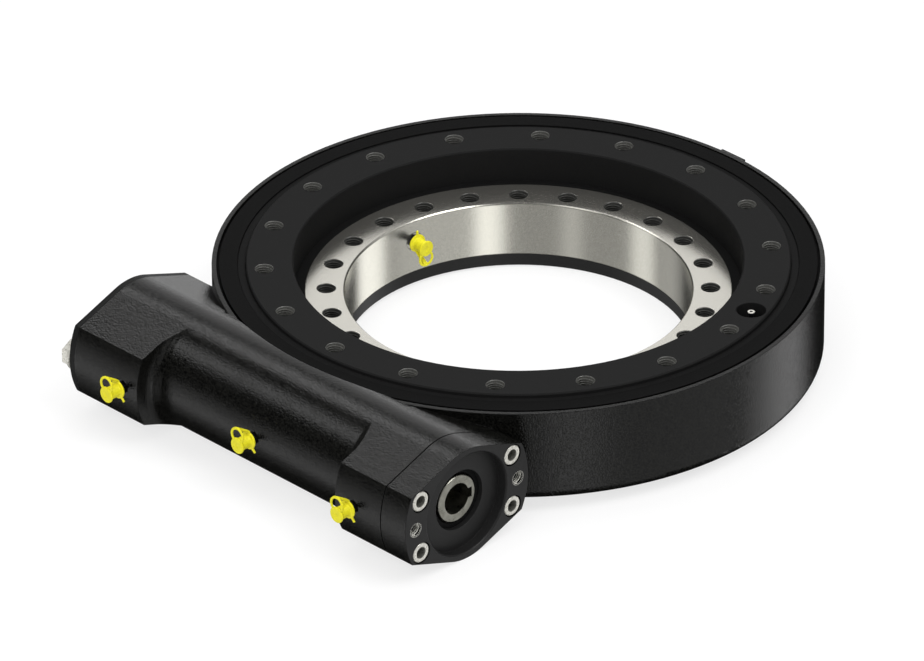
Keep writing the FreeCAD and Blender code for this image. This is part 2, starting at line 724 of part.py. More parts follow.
def build_motor_cover():
    cover = new_part("motor_cover")
    on_worm_axis(cover)
    # own X is world -Z and own Y is world Y
    section = [(f"-({y})", x, *rest) for x, y, *rest in block_corners()]
    pad(cover, outline(cover, "XY_Plane", "Cover", section, ("0", "0", "cover_face")), "cover_thickness")
    spigot = circles(cover, "XY_Plane", "Spigot", [("0", "0", "bearing_radius - spigot_gap")],
                     ("0", "0", "bearing_outer"))
    pad(cover, spigot, "cover_face - bearing_outer")
    groove(cover, outline(cover, "XZ_Plane", "Pilot", [
        ("0", "bearing_outer - 1"),
        ("seal_radius", "bearing_outer - 1"),
        ("seal_radius", "block_end - pilot_depth - 4"),
        ("seal_window", "block_end - pilot_depth - 4"),
        ("seal_window", "block_end - pilot_depth"),
        ("pilot_radius", "block_end - pilot_depth"),
        ("pilot_radius", "block_end - edge_break"),
        ("pilot_radius + edge_break + 1", "block_end + 1"),
        ("0", "block_end + 1"),
    ]))
    spots = [(f"{x} * cover_screw_up", f"{y} * cover_screw_across") for x in (-1, 1) for y in (-1, 1)]
    wells = [(x, y, "cover_screw_radius * 1.6 + screw_gap * 2") for x, y in spots]
    pocket(cover, circles(cover, "XY_Plane", "ScrewWells", wells, ("0", "0", "block_end")),
           "cover_screw_radius * 2 + screw_gap")
    holes = [(x, y, "cover_screw_radius + screw_gap") for x, y in spots]
    pocket(cover, circles(cover, "XY_Plane", "ScrewHoles", holes, ("0", "0", "block_end")),
           "cover_thickness + 1")
    taps = [("0", f"{y} * motor_bolt_spacing / 2", "motor_thread_core") for y in (-1, 1)]
    pocket(cover, circles(cover, "XY_Plane", "MotorTaps", taps, ("0", "0", "block_end")),
           "motor_thread_depth")

    gasket = new_part("cover_gasket")
    on_worm_axis(gasket)
    sheet_start = ("0", "0", "housing_motor_end")
    pad(gasket, outline(gasket, "XY_Plane", "Gasket", section, sheet_start), "gasket_thickness")
    opening = [("0", "0", "bearing_radius")] + holes
    pocket(gasket, circles(gasket, "XY_Plane", "GasketHoles", opening, ("0", "0", "cover_face + 1")), "5")

    screws = new_part("cover_screws")
    on_worm_axis(screws)
    head_top = "block_end - screw_gap"
    head_low = f"{head_top} - cover_screw_radius * 2"
    for number, (x, y) in enumerate(spots):
        shank = circles(screws, "XY_Plane", f"Shank{number}", [(x, y, "cover_screw_radius")],
                        ("0", "0", "housing_motor_end - cover_screw_grip"))
        pad(screws, shank, f"{head_low} + 0.5 - housing_motor_end + cover_screw_grip")
        head = circles(screws, "XY_Plane", f"Head{number}", [(x, y, "cover_screw_radius * 1.6")],
                       ("0", "0", head_low))
        pad(screws, head, "cover_screw_radius * 2")
        key = hexagon(screws, "XY_Plane", f"Key{number}", "cover_screw_radius * 1.6", (x, y),
                      ("0", "0", head_top))
        pocket(screws, key, "cover_screw_radius * 1.1")


def build_blank_end():
    cover = new_part("blanking_cover")
    on_worm_axis(cover)
    section = [(f"-({y})", x, *rest) for x, y, *rest in block_corners()]
    pad(cover, outline(cover, "XY_Plane", "Plate", section, ("0", "0", "-block_end")), "blank_plate")
    neck = "-housing_far_end + blank_spigot"
    revolve(cover, outline(cover, "XZ_Plane", "Nose", [
        ("0", "-block_end"),
        ("pilot_radius - spigot_gap", "-block_end"),
        ("pilot_radius - spigot_gap", neck),
        ("bearing_radius - spigot_gap", neck),
        ("bearing_radius - spigot_gap", "-bearing_outer"),
        ("0", "-bearing_outer"),
    ]))
    groove(cover, outline(cover, "XZ_Plane", "NoseHollow", [
        ("0", neck),
        ("seal_radius", neck),
        ("seal_radius", "-bearing_outer + 1"),
        ("0", "-bearing_outer + 1"),
    ]))
    groove(cover, outline(cover, "XZ_Plane", "RingGroove", [
        ("bearing_radius - 2.2", "-bearing_outer - 12"),
        ("bearing_radius + 1", "-bearing_outer - 12"),
        ("bearing_radius + 1", "-bearing_outer - 8.8"),
        ("bearing_radius - 2.2", "-bearing_outer - 8.8"),
    ]))
    spots = [("0", f"{y} * motor_bolt_spacing / 2") for y in (-1, 1)]
    holes = [(x, y, "blank_bolt_radius + screw_gap") for x, y in spots]
    pocket(cover, circles(cover, "XY_Plane", "BlankHoles", holes, ("0", "0", "-block_end")),
           "blank_plate + 1", reverse=True)

    ring = new_part("blanking_o_ring")
    on_worm_axis(ring)
    squeezed = [(0.4, 1.1), (1.1, 0.4), (1.1, -0.4), (0.4, -1.1), (-0.4, -1.1), (-1.1, -0.4),
                (-1.1, 0.4), (-0.4, 1.1)]
    revolve(ring, outline(ring, "XZ_Plane", "RubberRing", [
        (f"bearing_radius - 1.1 + {x}", f"-bearing_outer - 10.4 + {y}") for x, y in squeezed]))

    bolts = new_part("blanking_bolts")
    washers = new_part("blanking_washers")
    on_worm_axis(bolts)
    on_worm_axis(washers)
    under_head = "-block_end - blank_washer_thickness"
    for number, (x, y) in enumerate(spots):
        shank = circles(bolts, "XY_Plane", f"Shank{number}", [(x, y, "blank_bolt_radius")],
                        ("0", "0", f"{under_head} - 0.5"))
        pad(bolts, shank, "blank_plate + blank_washer_thickness + blank_bolt_grip + 0.5")
        head = hexagon(bolts, "XY_Plane", f"Head{number}", "blank_head_flats", (x, y), ("0", "0", under_head))
        pad(bolts, head, "blank_head_height", reverse=True)
        disc = circles(washers, "XY_Plane", f"Washer{number}",
                       [(x, y, "blank_washer_radius"), (x, y, "blank_bolt_radius + screw_gap")],
                       ("0", "0", under_head))
        pad(washers, disc, "blank_washer_thickness")


def build_worm():
    worm = new_part("worm_shaft")
    on_worm_axis(worm)
    grow = "shoulder_radius - worm_root_radius"
    half_thread = "axial_pitch * thread_turns / 2 + half_gap"
    revolve(worm, outline(worm, "XZ_Plane", "Shaft", [
        ("0", "-bearing_outer - far_stub"),
        ("stub_radius - edge_break", "-bearing_outer - far_stub"),
        ("stub_radius", "-bearing_outer - far_stub + edge_break"),
        ("stub_radius", "-bearing_outer"),
        ("bearing_bore", "-bearing_outer"),
        ("bearing_bore", "-bearing_shoulder"),
        ("shoulder_radius", "-bearing_shoulder"),
        ("shoulder_radius", f"-({half_thread}) - {grow} - 2"),
        ("worm_root_radius", f"-({half_thread}) - 2"),
        ("worm_root_radius", f"{half_thread} + 2"),
        ("shoulder_radius", f"{half_thread} + {grow} + 2"),
        ("shoulder_radius", "bearing_shoulder"),
        ("bearing_bore", "bearing_shoulder"),
        ("bearing_bore", "bearing_outer"),
        ("stub_radius", "bearing_outer"),
        ("stub_radius", "shaft_end - edge_break / 2"),
        ("stub_radius - edge_break / 2", "shaft_end"),
        ("0", "shaft_end"),
    ]))
    low = "worm_root_radius - 0.6"
    slope = "* tan(pressure_angle)"
    # drawn on the side away from the ring, half a turn before a thread that faces the ring at X = 0
    start = "-(floor(thread_turns / 2) + 0.5) * axial_pitch"
    root_half = f"axial_pitch / 4 + (worm_pitch_radius - ({low})) {slope}"
    tip_half = f"axial_pitch / 4 - (worm_tip_radius - worm_pitch_radius) {slope}"
    thread = outline(worm, "YZ_Plane", "Thread", [
        (f"-({low})", f"{start} - ({root_half})"),
        (f"-({low})", f"{start} + ({root_half})"),
        ("-worm_tip_radius", f"{start} + ({tip_half})"),
        ("-worm_tip_radius", f"{start} - ({tip_half})"),
    ])
    helix = worm.newObject("PartDesign::AdditiveHelix", "WormThread")
    helix.Profile = thread
    helix.ReferenceAxis = (thread, ["V_Axis"])
    helix.Mode = "pitch-turns-angle"
    bind(helix, "Pitch", "axial_pitch")
    bind(helix, "Turns", "thread_turns")
    helix.Angle = 0
    helix.LeftHanded = False
    helix.Reversed = False
    bore = circles(worm, "XY_Plane", "MotorBore", [("0", "0", "motor_bore")], ("0", "0", "shaft_end"))
    pocket(worm, bore, "motor_bore_depth")
    key = [("-key_width / 2", "0"), ("key_width / 2", "0"),
           ("key_width / 2", "key_floor"), ("-key_width / 2", "key_floor")]
    pocket(worm, outline(worm, "XY_Plane", "Keyway", key, ("0", "0", "shaft_end")),
           "motor_bore_depth - 8")

    seal = new_part("shaft_seal")
    on_worm_axis(seal)
    back = "block_end - pilot_depth - 4"
    revolve(seal, outline(seal, "XZ_Plane", "ShaftSeal", [
        ("stub_radius + seal_lip_gap", f"{back} - seal_width + 2"),
        ("stub_radius + seal_lip_gap + 1.5", f"{back} - seal_width"),
        ("stub_radius + 3", f"{back} - seal_width + 3"),
        ("seal_radius - 1.5", f"{back} - 2.5"),
        ("seal_radius - 1.5", f"{back} - seal_width"),
        ("seal_radius", f"{back} - seal_width"),
        ("seal_radius", back),
        ("stub_radius + 1.5", back),
        ("stub_radius + seal_lip_gap", f"{back} - 2"),
    ]))


def build_worm_bearings():
    # depths in a bearing run from its outer face towards the worm thread
    run = "(apex - bearing_outer)"
    roller_top = "(taper_roller_start + taper_roller_length)"
    middle = "(taper_roller_start + taper_roller_length / 2)"
    taper = f"(taper_roller_radius * cos(cup_angle) / ({run} + {middle}))"
    roller_lean = f"(cup_angle - atan({taper}) / (1 deg))"

    rollers = new_part("taper_rollers")
    cages = new_part("roller_cages")
    on_worm_axis(rollers)
    on_worm_axis(cages)
    for end, sign in (("motor_end", "1"), ("far_end", "-1")):
        def at(depth):
            return f"{sign} * (bearing_outer - ({depth}))"

        def spot(along, out):
            # from the apex where all the rollers' axes meet: along a roller's axis, and out from it
            across = f"{along} * sin({roller_lean}) + ({out}) * cos({roller_lean})"
            up = f"{along} * cos({roller_lean}) - ({out}) * sin({roller_lean})"
            return across, f"{sign} * (apex - ({up}))"

        near = f"(({run} + taper_roller_start) / cos({roller_lean}))"
        far = f"(({run} + {roller_top}) / cos({roller_lean}))"
        near_thick = f"({near} * {taper} - roller_play)"
        far_thick = f"({far} * {taper} - roller_play)"

        cup = new_part(f"{end}_cup")
        on_worm_axis(cup)
        revolve(cup, outline(cup, "XZ_Plane", f"Cup_{end}", [
            ("bearing_radius", at("0")),
            ("bearing_radius", at("cup_width")),
            ("cup_small_radius + cup_width * tan(cup_angle)", at("cup_width")),
            ("cup_small_radius", at("0")),
        ]))

        cone = new_part(f"{end}_cone")
        on_worm_axis(cone)
        small = f"({near} - roller_play * 2)"
        large = f"({far} + roller_play * 2)"
        small_rib = spot(small, f"0.9 - {small} * {taper}")
        large_rib = spot(large, f"2.6 - {large} * {taper}")
        revolve(cone, outline(cone, "XZ_Plane", f"Cone_{end}", [
            ("bearing_bore", at("0")),
            ("bearing_bore", at("bearing_width")),
            (large_rib[0], at("bearing_width")),
            large_rib,
            spot(large, f"-{large} * {taper}"),
            spot(small, f"-{small} * {taper}"),
            small_rib,
            (small_rib[0], at("0")),
        ]))

        sketch = outline(rollers, "XZ_Plane", f"Roller_{end}", [
            spot(near, "0"), spot(near, near_thick), spot(far, far_thick), spot(far, "0")])
        around(rollers, revolve_about_edge(rollers, sketch, 3), "taper_roller_count")

        band = 0.9
        sheet_low = spot(f"({near} - 1.2)", f"{near_thick} * 0.3")
        sheet_high = spot(f"({far} + 1.2)", f"{far_thick} * 0.3")
        revolve(cages, outline(cages, "XZ_Plane", f"Cage_{end}", [
            sheet_low,
            (f"{sheet_low[0]} + {band}", sheet_low[1]),
            (f"{sheet_high[0]} + {band}", sheet_high[1]),
            sheet_high,
        ]))
        window = outline(cages, "XZ_Plane", f"Window_{end}", [
            spot(f"({near} - 0.15)", "0"), spot(f"({near} - 0.15)", f"{near_thick} + 0.15"),
            spot(f"({far} + 0.15)", f"{far_thick} + 0.15"), spot(f"({far} + 0.15)", "0")])
        around(cages, revolve_about_edge(cages, window, 3, "Groove"), "taper_roller_count")


def revolve_about_edge(body, sketch, edge, kind="Revolution"):
    feature = body.newObject(f"PartDesign::{kind}", f"{sketch.Name}_{kind}")
    feature.Profile = sketch
    feature.ReferenceAxis = (sketch, [f"Edge{edge + 1}"])
    feature.Angle = 360
    return feature


def build_ring_screws():
    screws = new_part("ring_screws")
    bevel = "ring_screw_head - ring_screw_radius"
    top = "web_top + ring_screw_depth"
    corners = [
        ("0", "screw_gap"),
        ("ring_screw_head - screw_gap", "screw_gap"),
        ("ring_screw_radius", bevel),
        ("ring_screw_radius", top),
        ("0", top),
    ]
    sketch = outline(screws, "XZ_Plane", "RingScrew",
                     [(f"base_bolt_radius + {x}", y) for x, y in corners],
                     turn=((0, 1, 0), "ring_screw_angle"))
    around(screws, revolve_about_edge(screws, sketch, 4), "ring_screw_count")
    flats = "ring_screw_radius * 1.25"
    reach = f"{flats} / sqrt(3)"
    hexed = [(f"base_bolt_radius + {reach} * cos({60 * k})", f"{reach} * sin({60 * k})") for k in range(6)]
    key = outline(screws, "XY_Plane", "RingScrewKey", hexed, ("0", "0", "0"),
                  ((0, 0, 1), "ring_screw_angle"))
    around(screws, pocket(screws, key, "screw_gap + ring_screw_radius", reverse=True), "ring_screw_count")


def build_nipple(label, reach="nipple_reach"):
    nipple = new_part(label)
    pad(nipple, hexagon(nipple, "XY_Plane", f"Hex_{label}", "nipple_flats"), "nipple_hex_height")
    revolve(nipple, outline(nipple, "XZ_Plane", f"Stem_{label}", [
        ("0", "-nipple_thread_length"),
        ("nipple_thread - 0.5", "-nipple_thread_length"),
        ("nipple_thread", "-nipple_thread_length + 0.5"),
        ("nipple_thread", "nipple_hex_height"),
        ("nipple_neck", "nipple_hex_height + 0.8"),
        ("nipple_neck", f"{reach} - 3.6"),
        ("nipple_head", f"{reach} - 2.9"),
        ("nipple_head", f"{reach} - 1.9"),
        ("nipple_head * 0.55", reach),
        ("0", reach),
    ]))
    return nipple


def build_cap(label):
    # dust cap: a spool over the nipple with a pull ring in the plane of its front disc
    cap = new_part(label)
    front = "(nipple_reach + cap_gap + cap_wall)"
    back = "cap_collar_start"
    inner = "(nipple_head + cap_gap)"
    disc_back = f"{front} - cap_disc_thickness"
    revolve(cap, outline(cap, "XZ_Plane", f"Spool_{label}", [
        (inner, back),
        ("cap_collar_radius", back),
        ("cap_collar_radius", f"{back} + 1.7"),
        ("cap_waist_radius", f"{back} + 2.6"),
        ("cap_waist_radius", f"{disc_back} - 0.8"),
        ("cap_disc_radius", disc_back),
        ("cap_disc_radius", f"{front} - 0.5"),
        ("cap_disc_radius - 0.6", front),
        ("0", front),
        ("0", f"{front} - cap_wall"),
        (inner, f"{front} - cap_wall"),
    ]))
    loop = circles(cap, "XY_Plane", f"PullRing_{label}", [
        ("-pull_ring_rise", "0", "pull_ring_radius"), ("-pull_ring_rise", "0", "pull_hole_radius")],
        ("0", "0", disc_back))
    pad(cap, loop, "cap_disc_thickness")
    strap = outline(cap, "XZ_Plane", f"Strap_{label}", [
        ("-cap_collar_radius + 1.2", f"{back} + 1.7"),
        ("-cap_collar_radius + 1.2", back),
        ("-cap_collar_radius - 1", back),
        ("-pull_ring_rise - pull_hole_radius - 2.4", f"{disc_back} + 0.6"),
        ("-pull_ring_rise - pull_hole_radius - 0.6", f"{disc_back} + 0.6"),
    ])
    pad(cap, strap, "strap_width", both=True)
    nub = [("cap_collar_radius - 0.6", "-1"), ("cap_collar_radius + 3.2", "-1"),
           ("cap_collar_radius + 3.2", "1"), ("cap_collar_radius - 0.6", "1")]
    pad(cap, outline(cap, "XY_Plane", f"Nub_{label}", nub, ("0", "0", back)), "1.7")
    return cap


def build_grease_points():
    # each cap's own -X is the side of its pull ring: up on the worm tube, down in the bore
    on_tube = ((1, 1, -1), "120", "0")
    in_bore = ((1, 0, 1), "180", "bore_nipple_angle - 180")
    tube = "-centre_distance - tube_seat"
    ear = "-centre_distance - ear_seat"
    points = [
        ("far_end", ("-tube_nipple_spread", ear, "worm_level"), on_tube),
        ("middle", ("0", tube, "worm_level"), on_tube),
        ("motor_end", ("tube_nipple_spread", ear, "worm_level"), on_tube),
        ("bore", ("bore_seat * cos(bore_nipple_angle)", "bore_seat * sin(bore_nipple_angle)",
                  "bore_nipple_level"), in_bore),
    ]
    for name, spot, (axis, angle, swing) in points:
        place(build_nipple(f"{name}_nipple"), spot, axis, angle, swing)
        place(build_cap(f"{name}_cap"), spot, axis, angle, swing)
    spot = ("ring_bolt_radius * cos(ring_pocket_angle)", "ring_bolt_radius * sin(ring_pocket_angle)",
            "ring_seat")
    place(build_nipple("ring_nipple", "ring_nipple_reach"), spot)


def build_side_plug():
    plug = new_part("relief_plug")
    place(plug, ("0", "drum_radius + side_pad_stand", "side_plug_level"), (1, 0, 0), "-90")
    revolve(plug, outline(plug, "XZ_Plane", "Plug", [
        ("0", "-side_plug_depth"),
        ("side_plug_radius - 0.6", "-side_plug_depth"),
        ("side_plug_radius", "-side_plug_depth + 0.6"),
        ("side_plug_radius", "-0.6"),
        ("side_plug_radius - 0.4", "-0.2"),
        ("0", "-0.2"),
    ]))
    pocket(plug, hexagon(plug, "XY_Plane", "PlugKey", "side_plug_radius"), "side_plug_radius")


def main():
    build_housing()
    build_inner_ring()
    build_geared_ring()
    build_filler()
    build_race_fill()
    build_ring_seals()
    build_motor_cover()
    build_blank_end()
    build_worm()
    build_worm_bearings()
    build_ring_screws()
    build_grease_points()
    build_side_plug()
    doc.recompute()

    faults = [item.Name for item in doc.Objects if {"Invalid", "Error"} & set(item.State)]
    faults += [part.Label for part in parts if part.Shape.isNull() or not part.Shape.isValid()]
    if faults:
        raise RuntimeError("failed: " + ", ".join(faults))
    os.makedirs("parts", exist_ok=True)
    for part in parts:
        part.Shape.exportStep(f"parts/{part.Label}.step")
        print(part.Label, len(part.Shape.Solids), "solids", round(part.Shape.Volume))


main()
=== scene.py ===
import math

import bmesh
import bpy
from mathutils import Matrix, Vector


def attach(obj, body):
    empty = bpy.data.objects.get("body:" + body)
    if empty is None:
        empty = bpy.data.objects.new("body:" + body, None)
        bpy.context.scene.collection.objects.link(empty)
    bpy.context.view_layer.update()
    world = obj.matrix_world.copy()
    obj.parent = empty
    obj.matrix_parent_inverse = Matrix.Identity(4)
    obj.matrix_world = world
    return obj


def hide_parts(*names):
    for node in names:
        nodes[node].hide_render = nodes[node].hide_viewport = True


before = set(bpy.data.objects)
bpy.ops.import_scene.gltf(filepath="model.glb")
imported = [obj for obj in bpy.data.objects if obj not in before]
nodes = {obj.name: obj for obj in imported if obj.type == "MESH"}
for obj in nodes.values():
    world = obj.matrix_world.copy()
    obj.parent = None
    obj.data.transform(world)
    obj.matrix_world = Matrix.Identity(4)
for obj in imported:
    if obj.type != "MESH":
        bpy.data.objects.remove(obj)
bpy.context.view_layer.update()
mm = 0.001

# places the CAD gives, in millimetres
wormAxis = (0, -236.2, 39.0)
coverFace = 182.8
coverScrewSpots = {"across": 47.6, "up": 22.0}      # off the worm's axis, either way
ringBoltCircle = 195.0

# camera
cameraSettings = {
    "lens": 372.65,         # long lens, 36 mm sensor: 924 pixels across
    "turn": 45.55,          # degrees round the ring from straight in front of the worm tube
    "rise": 29.85,
    "roll": -0.39,
    "distance": 7.3269,     # from the middle of the turning ring's top face
    "slideRight": -0.04312,
    "slideUp": -0.05617,
    "target": (0, 0, 0.082),
}


def placeCamera(settings):
    turn, rise, roll = (math.radians(settings[key]) for key in ("turn", "rise", "roll"))
    back = Vector((math.sin(turn) * math.cos(rise), -math.cos(turn) * math.cos(rise), math.sin(rise)))
    right = (-back).cross(Vector((0, 0, 1))).normalized()
    up = right.cross(-back)
    rightRolled = math.cos(roll) * right + math.sin(roll) * up
    upRolled = math.cos(roll) * up - math.sin(roll) * right
    spot = Vector(settings["target"]) + back * settings["distance"]
    spot += rightRolled * settings["slideRight"] + upRolled * settings["slideUp"]
    data = bpy.data.cameras.new("productCamera")
    data.lens = settings["lens"]
    data.sensor_width = 36
    data.clip_start = 0.1
    data.clip_end = 60
    camera = bpy.data.objects.new("productCamera", data)
    bpy.context.scene.collection.objects.link(camera)
    axes = Matrix((rightRolled, upRolled, back)).transposed()
    camera.matrix_world = Matrix.Translation(spot) @ axes.to_4x4()
    bpy.context.scene.camera = camera


placeCamera(cameraSettings)
bpy.context.scene.view_settings.view_transform = "Standard"     # whites and yellows as in a product shot
print("camera placed")


# materials
def toLinear(code):
    channels = [int(code[k:k + 2], 16) / 255 for k in (1, 3, 5)]
    return [c / 12.92 if c <= 0.04045 else ((c + 0.055) / 1.055) ** 2.4 for c in channels] + [1.0]


def addNode(tree, kind, settings=None, links=None):
    # settings name attributes or inputs; links name inputs and give the sockets that feed them
    node = tree.nodes.new(kind)
    for name, value in (settings or {}).items():
        if isinstance(name, str) and hasattr(node, name):
            setattr(node, name, value)
        else:
            node.inputs[name].default_value = value
    for name, socket in (links or {}).items():
        tree.links.new(socket, node.inputs[name])
    return node


def newFinish(name, shade, settings=None):
    # starts a material: its tree, its object coordinates in millimetres and its shader
    material = bpy.data.materials.new(name)
    material.use_nodes = True
    tree = material.node_tree
    tree.nodes.clear()
    coords = addNode(tree, "ShaderNodeTexCoord").outputs["Object"]
    inMm = addNode(tree, "ShaderNodeVectorMath", {"operation": "SCALE", "Scale": 1 / mm}, {0: coords})
    shader = addNode(tree, "ShaderNodeBsdfPrincipled", {"Base Color": toLinear(shade), **(settings or {})})
    addNode(tree, "ShaderNodeOutputMaterial", links={"Surface": shader.outputs[0]})
    return material, tree, inMm.outputs[0], shader


def noiseOver(tree, place, size, detail=2.0, rough=0.5, stretch=(1, 1, 1)):
    # size is the pattern's grain in millimetres
    scaled = addNode(tree, "ShaderNodeVectorMath", {
        "operation": "MULTIPLY", 1: [s / size for s in stretch]}, {0: place})
    return addNode(tree, "ShaderNodeTexNoise", {"Scale": 1.0, "Detail": detail, "Roughness": rough},
                   {"Vector": scaled.outputs[0]}).outputs[0]


def awayFrom(tree, place, centre, keep):
    # distance in millimetres from a centre, counted along the kept axes only
    offset = addNode(tree, "ShaderNodeVectorMath", {"operation": "SUBTRACT", 1: centre}, {0: place})
    kept = addNode(tree, "ShaderNodeVectorMath", {"operation": "MULTIPLY", 1: keep}, {0: offset.outputs[0]})
    length = addNode(tree, "ShaderNodeVectorMath", {"operation": "LENGTH"}, {0: kept.outputs[0]})
    return length.outputs["Value"]


def roundRing(tree, place):
    # the same place seen as distance from the ring's axis and height, so a pattern runs in circles
    height = addNode(tree, "ShaderNodeSeparateXYZ", links={0: place}).outputs[2]
    reach = awayFrom(tree, place, (0, 0, 0), (1, 1, 0))
    return addNode(tree, "ShaderNodeCombineXYZ", links={0: reach, 2: height}).outputs[0]


def paintBy(tree, shader, pattern, dark, light, smooth=None, rough=None):
    # one pattern drives the tint, and the roughness when its two ends are given; noise seldom leaves
    # the middle third, so that is stretched over the whole range
    share = addNode(tree, "ShaderNodeMapRange", {1: 0.34, 2: 0.66}, {0: pattern}).outputs[0]
    tint = addNode(tree, "ShaderNodeMix", {"data_type": "RGBA", 6: toLinear(dark), 7: toLinear(light)},
                   {0: share})
    tree.links.new(tint.outputs[2], shader.inputs["Base Color"])
    if rough is not None:
        gloss = addNode(tree, "ShaderNodeMapRange", {3: smooth, 4: rough}, {0: share})
        tree.links.new(gloss.outputs[0], shader.inputs["Roughness"])
    return tint.outputs[2]


def carve(tree, shader, layers, edge=None):
    # stacks reliefs, each a pattern with its depth in millimetres, over edges rounded by a radius
    normal = None
    if edge:
        normal = addNode(tree, "ShaderNodeBevel", {"samples": 6, "Radius": edge * mm}).outputs[0]
    for pattern, depth in layers:
        under = {"Normal": normal} if normal else {}
        normal = addNode(tree, "ShaderNodeBump", {"Strength": 1.0, "Distance": depth * mm},
                         {"Height": pattern, **under}).outputs[0]
    tree.links.new(normal, shader.inputs["Normal"])


# what a cutter went over on the casting: the bore, the cover's recess and the cover face, each with
# its middle, the axes that count and its reach in millimetres
machinedFaces = {
    "bore": ((0, 0, 0), (1, 1, 0), 135.0),
    "recess": (wormAxis, (0, 1, 1), 42.5),
    "face": ((coverFace, 0, 0), (1, 0, 0), 0.3),
}


def powderCoatedCasting():
    # cast iron under black powder coat: soft gloss broken by the sand-cast skin; the machined faces
    # come out flat, matt and a little greyer
    material, tree, place, shader = newFinish("powderCoatedCastIron", "#0b0b0b", {
        "Specular IOR Level": 0.35})
    skin = noiseOver(tree, place, 2.4)
    grain = noiseOver(tree, place, 1.1, 0.0)
    paintBy(tree, shader, grain, "#020202", "#161614", 0.13, 0.25)
    carve(tree, shader, [(skin, 0.04), (grain, 0.17)], 0.7)

    cut = addNode(tree, "ShaderNodeBsdfPrincipled", {"Specular IOR Level": 0.3})
    film = noiseOver(tree, place, 1.6)
    paintBy(tree, cut, film, "#1e1e1e", "#232323", 0.4, 0.48)
    carve(tree, cut, [(film, 0.012)], 0.6)
    inBore, inRecess, onFace = (
        addNode(tree, "ShaderNodeMath", {"operation": "LESS_THAN", 1: reach},
                {0: awayFrom(tree, place, middle, axes)}).outputs[0]
        for middle, axes, reach in machinedFaces.values())
    onCover = addNode(tree, "ShaderNodeMath", {"operation": "MAXIMUM"}, {0: inRecess, 1: onFace}).outputs[0]
    machined = addNode(tree, "ShaderNodeMath", {"operation": "MAXIMUM"}, {0: inBore, 1: onCover}).outputs[0]
    surface = addNode(tree, "ShaderNodeMixShader", links={
        0: machined, 1: shader.outputs[0], 2: cut.outputs[0]})
    tree.links.new(surface.outputs[0], tree.nodes["Material Output"].inputs["Surface"])
    return material


def mattRingPaint(name, gloss, dark, light):
    # machined steel under a thin matt black paint: flat and even, with only a faint turned trace
    material, tree, place, shader = newFinish(name, dark, {"Specular IOR Level": gloss})
    turned = noiseOver(tree, roundRing(tree, place), 0.9, 1.0)
    dust = noiseOver(tree, place, 1.3)
    paintBy(tree, shader, dust, dark, light, 0.5, 0.58)
    carve(tree, shader, [(turned, 0.005), (dust, 0.005)], 0.5)
    return material


def turnedBrightSteel():
    # bearing ring: the ground top is the brightest metal here, tinted near white as a painted highlight;
    # the turned bore is greyer and pulls highlights long; a fine speckle keeps both from looking like a
    # mirror
    material, tree, place, shader = newFinish("turnedRingSteel", "#d9d7cc", {"Metallic": 0.96})
    ringWise = roundRing(tree, place)
    fine = noiseOver(tree, ringWise, 0.42, 2.0, 0.6)
    speckle = noiseOver(tree, place, 0.9, 1.0)
    turned = paintBy(tree, shader, speckle, "#d6d4c9", "#e8e6db", 0.19, 0.26)
    groundTop = 54.6        # millimetres up; the ground face lies above it, the turned bore below
    height = addNode(tree, "ShaderNodeSeparateXYZ", links={0: place}).outputs[2]
    topHighlightMask = addNode(tree, "ShaderNodeMath", {"operation": "GREATER_THAN", 1: groundTop}, {0: height})
    # painted highlight: the top face above that height is tinted near white
    tint = addNode(tree, "ShaderNodeMix", {"data_type": "RGBA", 7: toLinear("#fdfaf0")},
                   {0: topHighlightMask.outputs[0], 6: turned})
    tree.links.new(tint.outputs[2], shader.inputs["Base Color"])
    carve(tree, shader, [(fine, 0.009), (speckle, 0.02)], 0.9)
    return material


def groundShaftSteel():
    # worm shaft and bearing races: ground steel, grey and softly bright, with grinding lines
    material, tree, place, shader = newFinish("groundShaftSteel", "#b4b3a8", {"Metallic": 1.0})
    lines = noiseOver(tree, place, 0.5, 2.0, 0.6, (6, 1, 1))
    paintBy(tree, shader, noiseOver(tree, place, 6), "#a6a59a", "#c2c1b6", 0.26, 0.36)
    carve(tree, shader, [(lines, 0.006)], 0.4)
    return material


def brightZinc(name, shadedSocketReach=None):
    # bright zinc plate on screws: a light, faintly clouded metal, tinted dull grey down in the cover
    # screws' sockets as painted shade when their reach in millimetres is given
    material, tree, place, shader = newFinish(name, "#dcdad0", {"Metallic": 0.5})
    cloud = noiseOver(tree, place, 2.2, 3.0)
    plate = paintBy(tree, shader, cloud, "#dbd9cf", "#f3f1e9", 0.24, 0.4)
    if shadedSocketReach:
        offset = addNode(tree, "ShaderNodeVectorMath", {"operation": "SUBTRACT", 1: wormAxis}, {0: place})
        folded = addNode(tree, "ShaderNodeVectorMath", {"operation": "ABSOLUTE"}, {0: offset.outputs[0]})
        screw = (0, coverScrewSpots["across"], coverScrewSpots["up"])
        reach = awayFrom(tree, folded.outputs[0], screw, (0, 1, 1))
        socketShadeMask = addNode(tree, "ShaderNodeMath", {"operation": "LESS_THAN", 1: shadedSocketReach}, {0: reach})
        # painted shade: inside the sockets the zinc is tinted a darker grey
        tint = addNode(tree, "ShaderNodeMix", {"data_type": "RGBA", 7: toLinear("#75756f")},
                       {0: socketShadeMask.outputs[0], 6: plate})
        tree.links.new(tint.outputs[2], shader.inputs["Base Color"])
    carve(tree, shader, [(cloud, 0.01)], 0.3)
    return material


def mouldedYellowVinyl():
    # dip-moulded vinyl caps: flat strong yellow, soft sheen and a slightly uneven skin
    material, tree, place, shader = newFinish("mouldedYellowVinyl", "#e6de32", {"Specular IOR Level": 0.3})
    skin = noiseOver(tree, place, 1.6)
    paintBy(tree, shader, skin, "#e3da22", "#ece42c", 0.45, 0.55)
    carve(tree, shader, [(skin, 0.03)])
    return material


